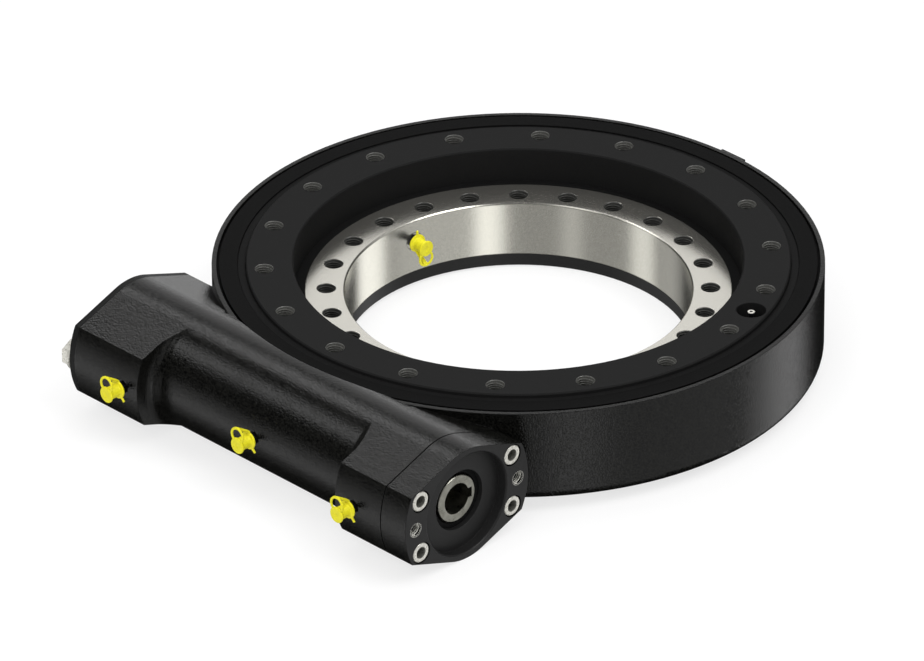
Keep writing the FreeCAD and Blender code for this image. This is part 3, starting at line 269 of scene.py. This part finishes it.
def nitrileRubber():
    # moulded nitrile seals: matt black with a dusty bloom
    material, tree, place, shader = newFinish("nitrileRubber", "#161616", {"Specular IOR Level": 0.08})
    bloom = noiseOver(tree, place, 1.5, 3.0)
    paintBy(tree, shader, bloom, "#101010", "#171717", 0.55, 0.7)
    carve(tree, shader, [(bloom, 0.01)])
    return material


def fibreGasket():
    # pressed fibre sheet, oil dark: dead matt, with a fine felted edge
    material, tree, place, shader = newFinish("fibreGasketSheet", "#030303", {
        "Roughness": 0.85, "Specular IOR Level": 0.05})
    felt = noiseOver(tree, place, 0.8, 3.0)
    paintBy(tree, shader, felt, "#020202", "#050505")
    carve(tree, shader, [(felt, 0.024)])
    return material


def blackOxideSteel():
    # black oxide on alloy screws and grease nipples: oily dark metal
    material, tree, place, shader = newFinish("blackOxideSteel", "#26262a", {"Metallic": 0.7})
    oil = noiseOver(tree, place, 1.8)
    paintBy(tree, shader, oil, "#1c1c1f", "#2a2a2e", 0.32, 0.5)
    carve(tree, shader, [(oil, 0.005)], 0.3)
    return material


def castNylon():
    # natural nylon spacers between the rollers: milky and slightly waxy
    material, tree, place, shader = newFinish("naturalNylon", "#ded8c2", {"Roughness": 0.5})
    milk = noiseOver(tree, place, 3.0)
    paintBy(tree, shader, milk, "#d6cfb6", "#e6e1cf")
    carve(tree, shader, [(milk, 0.008)])
    return material


def cutThreadSteel(name, dark, light, metal):
    # bare thread flanks and countersinks cut through the paint: small broken glints
    material, tree, place, shader = newFinish(name, dark, {"Metallic": metal})
    burr = noiseOver(tree, place, 0.7)
    paintBy(tree, shader, burr, dark, light, 0.34, 0.5)
    carve(tree, shader, [(burr, 0.02)])
    return material


finishes = {
    "casting": powderCoatedCasting(),
    "ringPaint": mattRingPaint("mattBlackPaint", 0.06, "#1b1b1b", "#1e1e1e"),
    "retainerPaint": mattRingPaint("deepBlackPaint", 0.06, "#070707", "#0b0b0b"),
    "platePaint": mattRingPaint("satinBlackPaint", 0.3, "#111111", "#171717"),
    "ringSteel": turnedBrightSteel(),
    "shaftSteel": groundShaftSteel(),
    "yellow": mouldedYellowVinyl(),
    "zinc": brightZinc("brightZincPlate"),
    # zinc with painted shade in the cover screws' sockets
    "socketShadedZinc": brightZinc("socketShadedZincPlate", 4.7),
    "rubber": nitrileRubber(),
    "gasket": fibreGasket(),
    "blackOxide": blackOxideSteel(),
    "nylon": castNylon(),
    # one thread steel in lit and shaded copies: darker in the ring's and base's holes as painted shade,
    # lighter in the flange's as painted light
    "threads": cutThreadSteel("cutThreadSteel", "#585855", "#7e7e7a", 0.4),
    "shadedThreads": cutThreadSteel("paintedShadeThreadSteel", "#424240", "#5e5e5b", 0.5),
    "litThreads": cutThreadSteel("paintedLightThreadSteel", "#c4c3b9", "#f6f5ee", 0.3),
}
finishOf = {
    "casting": ["housing", "motor_cover", "relief_plug"],
    "ringPaint": ["geared_ring"],
    "retainerPaint": ["seal_retainer"],
    "platePaint": ["blanking_cover"],
    "ringSteel": ["inner_ring", "filler_plug", "filler_pin"],
    "shaftSteel": ["worm_shaft", "race_rollers", "taper_rollers", "motor_end_cup", "far_end_cup",
                   "motor_end_cone", "far_end_cone", "roller_cages"],
    "nylon": ["race_spacers"],
    "rubber": ["race_seal", "ring_seal", "shaft_seal", "blanking_o_ring"],
    "gasket": ["cover_gasket"],
    "zinc": ["cover_screws", "blanking_bolts", "blanking_washers", "ring_nipple"],
    "blackOxide": ["ring_screws", "far_end_nipple", "middle_nipple", "motor_end_nipple", "bore_nipple"],
    "yellow": ["far_end_cap", "middle_cap", "motor_end_cap", "bore_cap"],
}
for finish, names in finishOf.items():
    for name in names:
        slots = nodes[name].data.materials
        slots.clear()
        slots.append(finishes[finish])
print("materials on", sum(len(names) for names in finishOf.values()), "nodes")


# building helpers
def linkMesh(name, mesh, finish):
    piece = bpy.data.objects.new(name, mesh)
    bpy.context.scene.collection.objects.link(piece)
    mesh.materials.clear()
    mesh.materials.append(finishes[finish])
    return piece


def turnedShape(work, profile, segments):
    # spins (radius, height) points about Z in the bmesh; a radius of 0 closes to a pole
    turns = [2 * math.pi * k / segments for k in range(segments)]
    rings = []
    for radius, height in profile:
        if radius == 0:
            rings.append([work.verts.new((0, 0, height))])
        else:
            rings.append([work.verts.new((radius * math.cos(t), radius * math.sin(t), height))
                          for t in turns])
    for low, high in zip(rings, rings[1:]):
        for k in range(segments):
            nxt = (k + 1) % segments
            if len(low) == 1:
                work.faces.new((low[0], high[nxt], high[k]))
            elif len(high) == 1:
                work.faces.new((low[k], low[nxt], high[0]))
            else:
                work.faces.new((low[k], low[nxt], high[nxt], high[k]))
    return rings


def finishMesh(name, work, smoothAngle=35):
    bmesh.ops.recalc_face_normals(work, faces=work.faces)
    mesh = bpy.data.meshes.new(name)
    work.to_mesh(mesh)
    work.free()
    for face in mesh.polygons:
        face.use_smooth = True
    mesh.set_sharp_from_angle(angle=math.radians(smoothAngle))
    return mesh


def bakeWith(piece, modifiers, name, finish):
    # applies live modifiers by evaluating, and leaves one plain mesh
    bpy.context.view_layer.update()
    baked = bpy.data.meshes.new_from_object(piece.evaluated_get(bpy.context.evaluated_depsgraph_get()))
    for modifier in modifiers:
        piece.modifiers.remove(modifier)
    bpy.data.objects.remove(piece)
    return linkMesh(name, baked, finish)


# tapped holes: a cut rim and a thread that follows each bolt circle
tappedHoleSettings = {
    "ringBolts": {
        "circle": ringBoltCircle, "count": 18, "first": 10, "level": 82.0,
        "radius": 7.0, "pitch": 2.0, "depth": 20, "rim": 0.0, "slope": 0.35, "bare": 19, "tooth": 0.12,
        "finish": "threads", "body": "turning_ring"},
    "baseBolts": {
        "circle": 147.5, "count": 24, "first": 0, "level": 55.0,
        "radius": 7.0, "pitch": 2.0, "depth": 18, "rim": 0.0, "slope": 0.52, "bare": 17, "tooth": 0.2,
        "finish": "shadedThreads", "body": "casing"},
    "flangeBolts": {
        "across": 53.2, "face": coverFace,
        "radius": 5.1, "pitch": 1.75, "depth": 14, "rim": 0.2, "slope": 0.5, "bare": 0.8, "tooth": 0.4,
        "finish": "litThreads", "body": "casing"},
}
# the tree's inputs, and the sizes above that feed them
tappedHoleInputs = {"Core Radius": "radius", "Pitch": "pitch", "Depth": "depth", "Rim Width": "rim",
                    "Slope": "slope", "Bare Wall": "bare", "Tooth": "tooth"}


def tappedHoleTree():
    # one hole's thread and rim at every point of the mesh that comes in
    tree = bpy.data.node_groups.new("tappedHoles", "GeometryNodeTree")
    face = tree.interface
    face.new_socket("Places", in_out="INPUT", socket_type="NodeSocketGeometry")
    for name in (*tappedHoleInputs, "Lean"):
        face.new_socket(name, in_out="INPUT", socket_type="NodeSocketFloat")
    face.new_socket("Finish", in_out="INPUT", socket_type="NodeSocketMaterial")
    face.new_socket("Holes", in_out="OUTPUT", socket_type="NodeSocketGeometry")
    given = addNode(tree, "NodeGroupInput").outputs
    threadStart = 1.1 * mm      # down from the face
    lift = 0.04 * mm            # the rim stands this far off the face, so no paint shows through it
    tuck = 0.03 * mm            # and this far inside the chamfer's edge

    # bare thread: a V wound down the wall, its crest standing a tooth's height into the core; it is a
    # little wider than the pitch, so that the turns meet
    turns = addNode(tree, "ShaderNodeMath", {"operation": "DIVIDE"}, {0: given["Depth"], 1: given["Pitch"]})
    spiral = addNode(tree, "GeometryNodeCurveSpiral", {"Resolution": 22, "Reverse": True}, {
        "Rotations": turns.outputs[0], "Start Radius": given["Core Radius"],
        "End Radius": given["Core Radius"], "Height": given["Depth"]})
    upright = addNode(tree, "GeometryNodeSetCurveNormal", {"mode": "Z_UP"}, {0: spiral.outputs[0]})
    wide = addNode(tree, "ShaderNodeMath", {"operation": "MULTIPLY", 1: 1.02}, {0: given["Pitch"]})
    flank = addNode(tree, "GeometryNodeCurvePrimitiveQuadrilateral", {"mode": "KITE"}, {
        "Width": wide.outputs[0], "Bottom Height": given["Tooth"], "Top Height": given["Tooth"]})
    thread = addNode(tree, "GeometryNodeCurveToMesh", links={0: upright.outputs[0], 1: flank.outputs[0]})
    drop = addNode(tree, "ShaderNodeMath", {"operation": "SUBTRACT", 0: -threadStart}, {1: given["Depth"]})
    down = addNode(tree, "ShaderNodeCombineXYZ", links={2: drop.outputs[0]})
    sunk = addNode(tree, "GeometryNodeTransform", links={
        "Geometry": thread.outputs[0], "Translation": down.outputs[0]})

    # the rim is bare metal where the countersink cut through the paint, down its slope and the first wall
    reach = addNode(tree, "ShaderNodeMath", {"operation": "ADD", 1: -tuck}, {0: given["Slope"]})
    brim = addNode(tree, "ShaderNodeMath", {"operation": "ADD"}, {
        0: given["Core Radius"], 1: reach.outputs[0]})
    loop = addNode(tree, "GeometryNodeCurvePrimitiveCircle", {"Resolution": 48}, {
        "Radius": brim.outputs[0]})
    across = addNode(tree, "ShaderNodeCombineXYZ", links={0: given["Rim Width"]})
    band = addNode(tree, "GeometryNodeCurvePrimitiveLine", {"Start": (0, 0, 0)}, {"End": across.outputs[0]})
    inward = addNode(tree, "ShaderNodeMath", {"operation": "MULTIPLY", 1: -1.0}, {0: given["Slope"]})
    foot = addNode(tree, "ShaderNodeCombineXYZ", links={0: inward.outputs[0], 1: given["Slope"]})
    slope = addNode(tree, "GeometryNodeCurvePrimitiveLine", {"Start": (0, 0, 0)}, {"End": foot.outputs[0]})
    below = addNode(tree, "ShaderNodeCombineXYZ", links={0: inward.outputs[0], 1: given["Bare Wall"]})
    wall = addNode(tree, "GeometryNodeCurvePrimitiveLine", links={
        "Start": foot.outputs[0], "End": below.outputs[0]})
    edges = addNode(tree, "GeometryNodeJoinGeometry")
    for line in (band, slope, wall):
        tree.links.new(line.outputs[0], edges.inputs[0])
    rim = addNode(tree, "GeometryNodeCurveToMesh", links={0: loop.outputs[0], 1: edges.outputs[0]})
    raised = addNode(tree, "GeometryNodeTransform", {"Translation": (0, 0, lift)},
                     {"Geometry": rim.outputs[0]})
    hole = addNode(tree, "GeometryNodeJoinGeometry")
    tree.links.new(sunk.outputs[0], hole.inputs[0])
    tree.links.new(raised.outputs[0], hole.inputs[0])
    tip = addNode(tree, "ShaderNodeCombineXYZ", links={1: given["Lean"]})
    leaned = addNode(tree, "GeometryNodeTransform", links={
        "Geometry": hole.outputs[0], "Rotation": tip.outputs[0]})
    spread = addNode(tree, "GeometryNodeInstanceOnPoints",
                     links={"Points": given["Places"], "Instance": leaned.outputs[0]})
    real = addNode(tree, "GeometryNodeRealizeInstances", links={0: spread.outputs[0]})
    painted = addNode(tree, "GeometryNodeSetMaterial", links={"Geometry": real.outputs[0],
                                                            "Material": given["Finish"]})
    addNode(tree, "NodeGroupOutput", links={0: painted.outputs[0]})
    return tree


def setOut(tree, name, spots, values, finish, body):
    # puts the tree's shape at the spots, given in millimetres, and bakes it to one mesh
    points = bpy.data.meshes.new(name + "Spots")
    points.from_pydata([[v * mm for v in spot] for spot in spots], [], [])
    carrier = bpy.data.objects.new(name + "Carrier", points)
    bpy.context.scene.collection.objects.link(carrier)
    modifier = carrier.modifiers.new("setOut", "NODES")
    modifier.node_group = tree
    values = {**values, "Finish": finishes[finish]}
    for item in tree.interface.items_tree:
        if item.item_type == "SOCKET" and item.in_out == "INPUT" and item.name in values:
            modifier[item.identifier] = values[item.name]
    piece = bakeWith(carrier, [modifier], name, finish)
    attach(piece, body)
    return piece


def makeTappedHoles():
    tree = tappedHoleTree()
    y, z = wormAxis[1:]
    for name, settings in tappedHoleSettings.items():
        if "circle" in settings:
            lean, reach = 0.0, settings["circle"]
            turns = [math.radians(settings["first"] + 360 * k / settings["count"])
                     for k in range(settings["count"])]
            spots = [(reach * math.cos(t), reach * math.sin(t), settings["level"]) for t in turns]
        else:
            lean = math.pi / 2
            spots = [(settings["face"], y + side * settings["across"], z) for side in (-1, 1)]
        values = {socket: settings[size] * mm for socket, size in tappedHoleInputs.items()}
        setOut(tree, name + "Threads", spots, {**values, "Lean": lean}, settings["finish"],
               settings["body"])


makeTappedHoles()
print("tapped holes threaded")

# cap screws in the end cover
capScrewSettings = {
    "top": 182.4, "radius": 8.0, "height": 10.0, "bevel": 0.9, "sides": 48,
    "foot": 0.98,           # the head draws in to this share of its radius at the bottom
    "socket": 8.0, "socketDepth": 5.5, "lip": 0.35,
    "mouth": 1.04,          # the chamfered mouth against the hexagon's corners
    "drillPoint": 1.6,      # how much deeper the socket's middle is
}


def capScrewMesh(settings):
    # cylinder head with a rolled top edge and a hexagon socket, head up along +Z
    work = bmesh.new()
    radius, bevel = settings["radius"] * mm, settings["bevel"] * mm
    hexReach = settings["socket"] / math.sqrt(3) * mm
    segments = settings["sides"]
    top = [(radius - bevel * (1 - math.sin(t)), -bevel * (1 - math.cos(t))) for t in
           (math.radians(a) for a in (90, 60, 30, 0))]
    profile = [(radius * settings["foot"], -settings["height"] * mm)] + top
    rings = turnedShape(work, profile, segments)
    turns = [2 * math.pi * k / segments for k in range(segments)]

    def loopAt(depth, reaches):
        return [work.verts.new((reach * math.cos(t), reach * math.sin(t), -depth * mm))
                for reach, t in zip(reaches, turns)]

    # the flat top runs in to a chamfered mouth, then to the hexagon
    hexReaches = [hexReach * math.cos(math.pi / 6) / math.cos(t % (math.pi / 3) - math.pi / 6)
                  for t in turns]
    mouth = loopAt(0, [hexReach * settings["mouth"]] * segments)
    lip = loopAt(settings["lip"], hexReaches)
    floor = loopAt(settings["socketDepth"], hexReaches)
    pit = work.verts.new((0, 0, -(settings["socketDepth"] + settings["drillPoint"]) * mm))
    for outer, inner in ((rings[-1], mouth), (mouth, lip), (lip, floor)):
        for k in range(segments):
            nxt = (k + 1) % segments
            work.faces.new((outer[k], outer[nxt], inner[nxt], inner[k]))
    for k in range(segments):
        work.faces.new((floor[k], floor[(k + 1) % segments], pit))
    work.faces.new(list(reversed(rings[0])))
    return finishMesh("capScrew", work, 30)


def setOutTree():
    # one given shape at every point, turned about Y
    tree = bpy.data.node_groups.new("setOutShapes", "GeometryNodeTree")
    face = tree.interface
    face.new_socket("Places", in_out="INPUT", socket_type="NodeSocketGeometry")
    face.new_socket("Shape", in_out="INPUT", socket_type="NodeSocketObject")
    face.new_socket("Lean", in_out="INPUT", socket_type="NodeSocketFloat")
    face.new_socket("Finish", in_out="INPUT", socket_type="NodeSocketMaterial")
    face.new_socket("Shapes", in_out="OUTPUT", socket_type="NodeSocketGeometry")
    given = addNode(tree, "NodeGroupInput").outputs
    shape = addNode(tree, "GeometryNodeObjectInfo", links={"Object": given["Shape"]})
    turn = addNode(tree, "ShaderNodeCombineXYZ", links={1: given["Lean"]})
    spread = addNode(tree, "GeometryNodeInstanceOnPoints", links={
        "Points": given["Places"], "Instance": shape.outputs["Geometry"], "Rotation": turn.outputs[0]})
    real = addNode(tree, "GeometryNodeRealizeInstances", links={0: spread.outputs[0]})
    painted = addNode(tree, "GeometryNodeSetMaterial", links={"Geometry": real.outputs[0],
                                                            "Material": given["Finish"]})
    addNode(tree, "NodeGroupOutput", links={0: painted.outputs[0]})
    return tree


def makeCapScrews():
    shape = linkMesh("capScrewShape", capScrewMesh(capScrewSettings), "zinc")
    y, z = wormAxis[1:]
    across, up = coverScrewSpots["across"], coverScrewSpots["up"]
    spots = [(capScrewSettings["top"], y + a * across, z + b * up) for a in (-1, 1) for b in (-1, 1)]
    piece = setOut(setOutTree(), "coverCapScrews", spots, {"Shape": shape, "Lean": math.pi / 2},
                   "socketShadedZinc", "casing")
    bpy.data.objects.remove(shape)
    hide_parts("cover_screws")


makeCapScrews()
print("cap screws in")

# the open grease nipple sunk in the ring
ringNippleSettings = {
    "turn": 20, "seat": 69.7, "hexagon": 9.0, "hexagonHeight": 4.2, "neck": 2.2, "neckTop": 8.2,
    "head": 3.1, "rim": 2.8, "rimTop": 11.1, "mouth": 1.2, "ball": 0.9,
}


def makeRingNipple(settings):
    # hexagon, waisted neck and button head with the check ball standing in its mouth
    seat, neck, head, rim, mouth, ball = (
        settings[key] for key in ("seat", "neck", "head", "rim", "mouth", "ball"))
    hexTop, low, top = (settings[key] for key in ("hexagonHeight", "neckTop", "rimTop"))
    corner = settings["hexagon"] / math.sqrt(3)
    hexagon = [(0, 0), (corner, 0), (corner, hexTop - 0.4), (corner * 0.86, hexTop), (0, hexTop)]
    button = [(0, hexTop - 0.3), (neck + 0.7, hexTop - 0.3), (neck, hexTop + 0.7), (neck, low),
              (head, low + 1.3), (head, low + 1.8), (rim, top - 0.2), (rim - 0.2, top), (mouth, top),
              (mouth, top - 0.7), (ball, top - 0.7), (ball * 0.7, top - 0.3), (0, top - 0.15)]
    work = bmesh.new()
    for profile, sides in ((hexagon, 6), (button, 32)):
        turnedShape(work, [(r * mm, h * mm) for r, h in profile], sides)
    turn = math.radians(settings["turn"])
    spot = Vector((ringBoltCircle * math.cos(turn), ringBoltCircle * math.sin(turn), seat))
    bmesh.ops.translate(work, vec=spot * mm, verts=work.verts)
    piece = linkMesh("ringNipple", finishMesh("ringNipple", work), "zinc")
    piece.data.materials.append(finishes["blackOxide"])
    # only the button's top ring is bright zinc; the black oxide below it is painted shade, for the shadow
    # down in the ring's pocket
    for face in piece.data.polygons:
        above = face.center.z / mm - seat
        reach = math.hypot(face.center.x / mm - spot.x, face.center.y / mm - spot.y)
        face.material_index = 0 if above > top - 0.5 and reach > mouth else 1
    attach(piece, "turning_ring")
    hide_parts("ring_nipple")


makeRingNipple(ringNippleSettings)
print("ring nipple seated")

# dust caps on the grease nipples
dustCapSettings = {
    "collarRadius": 7.3, "collarStart": 3.8, "waistRadius": 5.1, "discRadius": 6.6, "front": 16.85,
    "discThickness": 1.8, "dimple": 2.4, "dimpleFloor": 1.6, "bore": 3.55, "wall": 1.5,
    "ringRadius": 6.9, "ringHole": 4.9, "ringRise": 8.7, "ringThickness": 1.4,
    "strapWidth": 3.6, "nubReach": 3.7, "nubWidth": 2.0, "sides": 40,
    "nubTurn": 40,          # degrees from the strap's line; the bore's cap has it in line
    "voxel": 0.38, "soften": 2,
}
# the nipples' seats: on the tube by their distance along it and out of its axis, in the bore by
# degrees, reach and height
dustCapSeats = {"spread": 125.3, "onBlock": 62.9, "onTube": 45.4,
                "boreTurn": 172.5, "boreReach": 133.9, "boreHeight": 37}


def dustCapMesh(settings, nubTurn):
    # spool, pull ring, strap and nub, melted together as one moulding; own -X is the pull ring's side
    work = bmesh.new()
    back, front = settings["collarStart"], settings["front"]
    discBack = front - settings["discThickness"]
    profile = [(settings["bore"], back), (settings["collarRadius"] - 0.3, back),
               (settings["collarRadius"], back + 0.4), (settings["collarRadius"], back + 1.4),
               (settings["collarRadius"] - 0.4, back + 1.8), (settings["waistRadius"] + 0.5, back + 2.1),
               (settings["waistRadius"], back + 3.2), (settings["waistRadius"], discBack - 1.2),
               (settings["discRadius"] - 0.6, discBack - 0.2), (settings["discRadius"], discBack + 0.4),
               (settings["discRadius"], front - 0.5), (settings["discRadius"] - 0.7, front),
               (settings["dimple"], front), (settings["dimpleFloor"], front - 0.5), (0, front - 0.5)]
    inner = [(0, front - settings["wall"] - 0.5), (settings["bore"], front - settings["wall"] - 0.5),
             (settings["bore"], back)]
    for outline in (profile, inner):
        turnedShape(work, [(r * mm, h * mm) for r, h in outline], settings["sides"])
    bmesh.ops.remove_doubles(work, verts=work.verts, dist=1e-6)

    # pull ring: a flat ring with rounded edges
    middle, half = (settings["ringRadius"] + settings["ringHole"]) / 2, settings["ringThickness"] / 2
    reach = (settings["ringRadius"] - settings["ringHole"]) / 2
    section = [(reach, half * 0.45), (reach * 0.75, half), (-reach * 0.75, half), (-reach, half * 0.45),
               (-reach, -half * 0.45), (-reach * 0.75, -half), (reach * 0.75, -half), (reach, -half * 0.45)]
    count = 36
    loops = []
    for k in range(count):
        turn = 2 * math.pi * k / count
        loops.append([work.verts.new((((middle + a) * math.cos(turn) - settings["ringRise"]) * mm,
                                      (middle + a) * math.sin(turn) * mm, (discBack + half + b) * mm))
                      for a, b in section])
    for k in range(count):
        first, second = loops[k], loops[(k + 1) % count]
        for j in range(len(section)):
            nxt = (j + 1) % len(section)
            work.faces.new((first[j], first[nxt], second[nxt], second[j]))

    # strap from the ring back to the collar, and the nub on the other side
    far = -settings["ringRise"] - settings["ringRadius"] + 0.1
    collar, nubEnd = settings["collarRadius"], settings["collarRadius"] + settings["nubReach"]
    strap = [(-collar + 1.4, back + 0.1), (-collar - 0.9, back + 0.1), (far, discBack + 0.2),
             (far + 1.7, discBack + 0.8), (-collar + 0.4, back + 1.6)]
    nub = [(collar - 0.8, back + 0.1), (nubEnd, back + 0.2), (nubEnd, back + 1.4),
           (collar - 0.8, back + 1.6)]
    for outline, width, turn in ((strap, settings["strapWidth"] / 2, 0),
                                 (nub, settings["nubWidth"] / 2, math.radians(nubTurn))):
        sides = [[work.verts.new(((x * math.cos(turn) - side * width * math.sin(turn)) * mm,
                                  (x * math.sin(turn) + side * width * math.cos(turn)) * mm, z * mm))
                  for x, z in outline] for side in (-1, 1)]
        work.faces.new(sides[0])
        work.faces.new(list(reversed(sides[1])))
        for k in range(len(outline)):
            nxt = (k + 1) % len(outline)
            work.faces.new((sides[0][k], sides[0][nxt], sides[1][nxt], sides[1][k]))
    return finishMesh("dustCap", work)


def meltTogether(mesh, settings, name):
    # the remesh joins the overlapping shapes, and the smoothing rounds them as a mould does
    piece = bpy.data.objects.new(name, mesh)
    bpy.context.scene.collection.objects.link(piece)
    melt = piece.modifiers.new("melt", "REMESH")
    melt.mode = "VOXEL"
    melt.voxel_size = settings["voxel"] * mm
    melt.use_smooth_shade = True
    soft = piece.modifiers.new("soften", "SMOOTH")
    soft.factor = 0.5
    soft.iterations = settings["soften"]
    return bakeWith(piece, [melt, soft], name, "yellow")


def makeDustCaps():
    y, z = wormAxis[1:]
    spread, onBlock, onTube = (dustCapSeats[key] for key in ("spread", "onBlock", "onTube"))
    towardsFront = Matrix(((0, 1, 0), (0, 0, -1), (-1, 0, 0)))
    turn, reach = math.radians(dustCapSeats["boreTurn"]), dustCapSeats["boreReach"]
    inwards = Vector((-math.cos(turn), -math.sin(turn), 0))
    inBore = Matrix(((0, 0, 1), inwards.cross(Vector((0, 0, 1))), inwards)).transposed()
    boreSeat = (reach * math.cos(turn), reach * math.sin(turn), dustCapSeats["boreHeight"])
    aside = dustCapSettings["nubTurn"]
    caps = {
        "farDustCap": ("far_end_cap", "far_cap", (-spread, y - onBlock, z), towardsFront, aside),
        "middleDustCap": ("middle_cap", "middle_dust_cap", (0, y - onTube, z), towardsFront, aside),
        "motorDustCap": ("motor_end_cap", "motor_cap", (spread, y - onBlock, z), towardsFront, aside),
        "boreDustCap": ("bore_cap", "bore_dust_cap", boreSeat, inBore, 0),
    }
    for name, (node, body, seat, axes, nubTurn) in caps.items():
        melted = meltTogether(dustCapMesh(dustCapSettings, nubTurn), dustCapSettings, name)
        melted.data.transform(Matrix.Translation([v * mm for v in seat]) @ axes.to_4x4())
        melted.visible_glossy = False       # else the black paint behind takes a yellow stain
        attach(melted, body)
        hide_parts(node)


makeDustCaps()
print("dust caps on")

# floor, studio air and lamps
studioSettings = {
    # shade is the plain grey, as light, that takes the shadows
    "floor": {"size": 14, "tilt": 1.03, "touch": (0, -0.236, -0.0075), "glow": 0.74, "shade": 0.26},
    "backdrop": 1.0,        # how pale the air behind the floor looks
    # the air's own light above and below, the heights it changes between, and its least
    "air": {"above": 0.05, "below": 0.30, "from": -0.16, "to": 0.04, "least": 0.01},
    # cards the gloss picks up: which way they hang (turn from +X, rise), half width and softness in
    # degrees, and how much they add to the air
    "cards": {
        "backLeft": (133, 18, 9, 17, 0.70),
        "backLow": (128, -3, 7, 9, 0.66),
        "stripLeft": (158, 47.5, 5, 6, 2.75),
        "stripFront": (214, 41, 6, 8, 2.15),
        "topVeil": (180, 60, 15, 30, 0.03),
        "frontFloor": (223, -29, 3, 10, 0.70),
        "frontWaist": (229, -14, 4, 9, 0.32),
        "frontLow": (194, -30, 3, 7, 0.12),
        "frontRight": (334, -30, 3, 9, 1.15),
        "rightSide": (10, -30, 22, 14, 0.21),
        "frontPanel": (279, -30, 2, 7, 0.36),
        "right": (73, -30, 8, 11, 1.02),
        "darkCorner": (130, -36, 26, 18, -0.28),
        "darkEdge": (118, -30, 9, 12, -0.26),
        "darkBehind": (159, -30, 9, 8, -0.08),
        "underside": (0, -90, 38, 14, -0.30),
        # these two only show from behind and from the motor's side
        "farLeft": (45, 27, 12, 17, 0.45),
        "farRight": (315, 27, 12, 17, 0.35),
        # two small lamps that only the rounded edges catch
        "edgeRight": (16, 52, 9, 8, 5.0),
        "edgeMiddle": (264, 54, 6, 8, 1.2),
    },
    # lamps for the matt side of things: spot, width, height and brightness of the face
    "lampAim": (0, 0, 0.05),
    "lamps": {
        "overhead": ((0.1, 0.3, 2.6), 3.4, 3.4, 1.75),
        "frontFill": ((0.9, -2.6, 1.9), 2.6, 1.8, 3.0),
    },
}


def studioFloor(settings):
    # a lit white table: it glows from inside, so the shadows on it stay faint
    material = newFinish("litTableAcrylic", "#ffffff", {
        "Base Color": [settings["shade"]] * 3 + [1.0], "Roughness": 0.95, "Specular IOR Level": 0.0,
        "Emission Color": (1, 1, 1, 1), "Emission Strength": settings["glow"]})[0]
    work = bmesh.new()
    reach = settings["size"] / 2
    corners = [work.verts.new((x * reach, y * reach, 0)) for x, y in ((-1, -1), (1, -1), (1, 1), (-1, 1))]
    work.faces.new(corners)
    tilt = Matrix.Rotation(math.radians(settings["tilt"]), 4, "X")
    bmesh.ops.transform(work, matrix=Matrix.Translation(settings["touch"]) @ tilt, verts=work.verts)
    mesh = bpy.data.meshes.new("studioFloor")
    work.to_mesh(mesh)
    work.free()
    floor = bpy.data.objects.new("studioFloor", mesh)
    mesh.materials.append(material)
    bpy.context.scene.collection.objects.link(floor)
    floor.visible_glossy = False        # the gloss sees the cards, not the floor


def hangCards(tree, settings):
    # adds each card's light to the air's own, by where a ray heads
    air = settings["air"]
    facing = addNode(tree, "ShaderNodeTexCoord").outputs["Generated"]
    height = addNode(tree, "ShaderNodeSeparateXYZ", links={0: facing}).outputs[2]
    total = addNode(tree, "ShaderNodeMapRange", {
        "interpolation_type": "SMOOTHSTEP", 1: air["from"], 2: air["to"], 3: air["below"],
        4: air["above"]}, {0: height}).outputs[0]
    for turn, rise, half, soft, gain in settings["cards"].values():
        turn, rise = math.radians(turn), math.radians(rise)
        towards = (math.cos(turn) * math.cos(rise), math.sin(turn) * math.cos(rise), math.sin(rise))
        near = addNode(tree, "ShaderNodeVectorMath", {"operation": "DOT_PRODUCT", 1: towards},
                       {0: facing}).outputs["Value"]
        glow = addNode(tree, "ShaderNodeMapRange", {
            "interpolation_type": "SMOOTHSTEP", 1: math.cos(math.radians(half + soft)),
            2: math.cos(math.radians(half)), 3: 0.0, 4: gain}, {0: near}).outputs[0]
        total = addNode(tree, "ShaderNodeMath", {"operation": "ADD"}, {0: total, 1: glow}).outputs[0]
    return addNode(tree, "ShaderNodeMath", {"operation": "MAXIMUM", 1: air["least"]}, {0: total}).outputs[0]


def hangLamp(name, aim, spot, width, height, brightness):
    data = bpy.data.lights.new(name, "AREA")
    data.shape = "RECTANGLE"
    data.size = width
    data.size_y = height
    data.energy = brightness * math.pi * width * height
    piece = bpy.data.objects.new(name, data)
    bpy.context.scene.collection.objects.link(piece)
    piece.location = spot
    piece.rotation_euler = (Vector(aim) - Vector(spot)).to_track_quat("-Z", "Y").to_euler()
    piece.visible_camera = False
    piece.visible_glossy = False


def lightStudio(settings):
    world = bpy.data.worlds.new("studioAir")
    bpy.context.scene.world = world
    world.use_nodes = True
    tree = world.node_tree
    tree.nodes.clear()
    seen = addNode(tree, "ShaderNodeLightPath").outputs["Is Camera Ray"]
    air = addNode(tree, "ShaderNodeMix", {"data_type": "FLOAT", 3: settings["backdrop"]},
                  {0: seen, 2: hangCards(tree, settings)}).outputs[0]
    glow = addNode(tree, "ShaderNodeBackground", links={"Strength": air})
    glow.inputs["Color"].default_value = (1, 1, 1, 1)
    addNode(tree, "ShaderNodeOutputWorld", links={"Surface": glow.outputs[0]})
    for name, box in settings["lamps"].items():
        hangLamp(name, settings["lampAim"], *box)


studioFloor(studioSettings["floor"])
lightStudio(studioSettings)
print("studio lit")
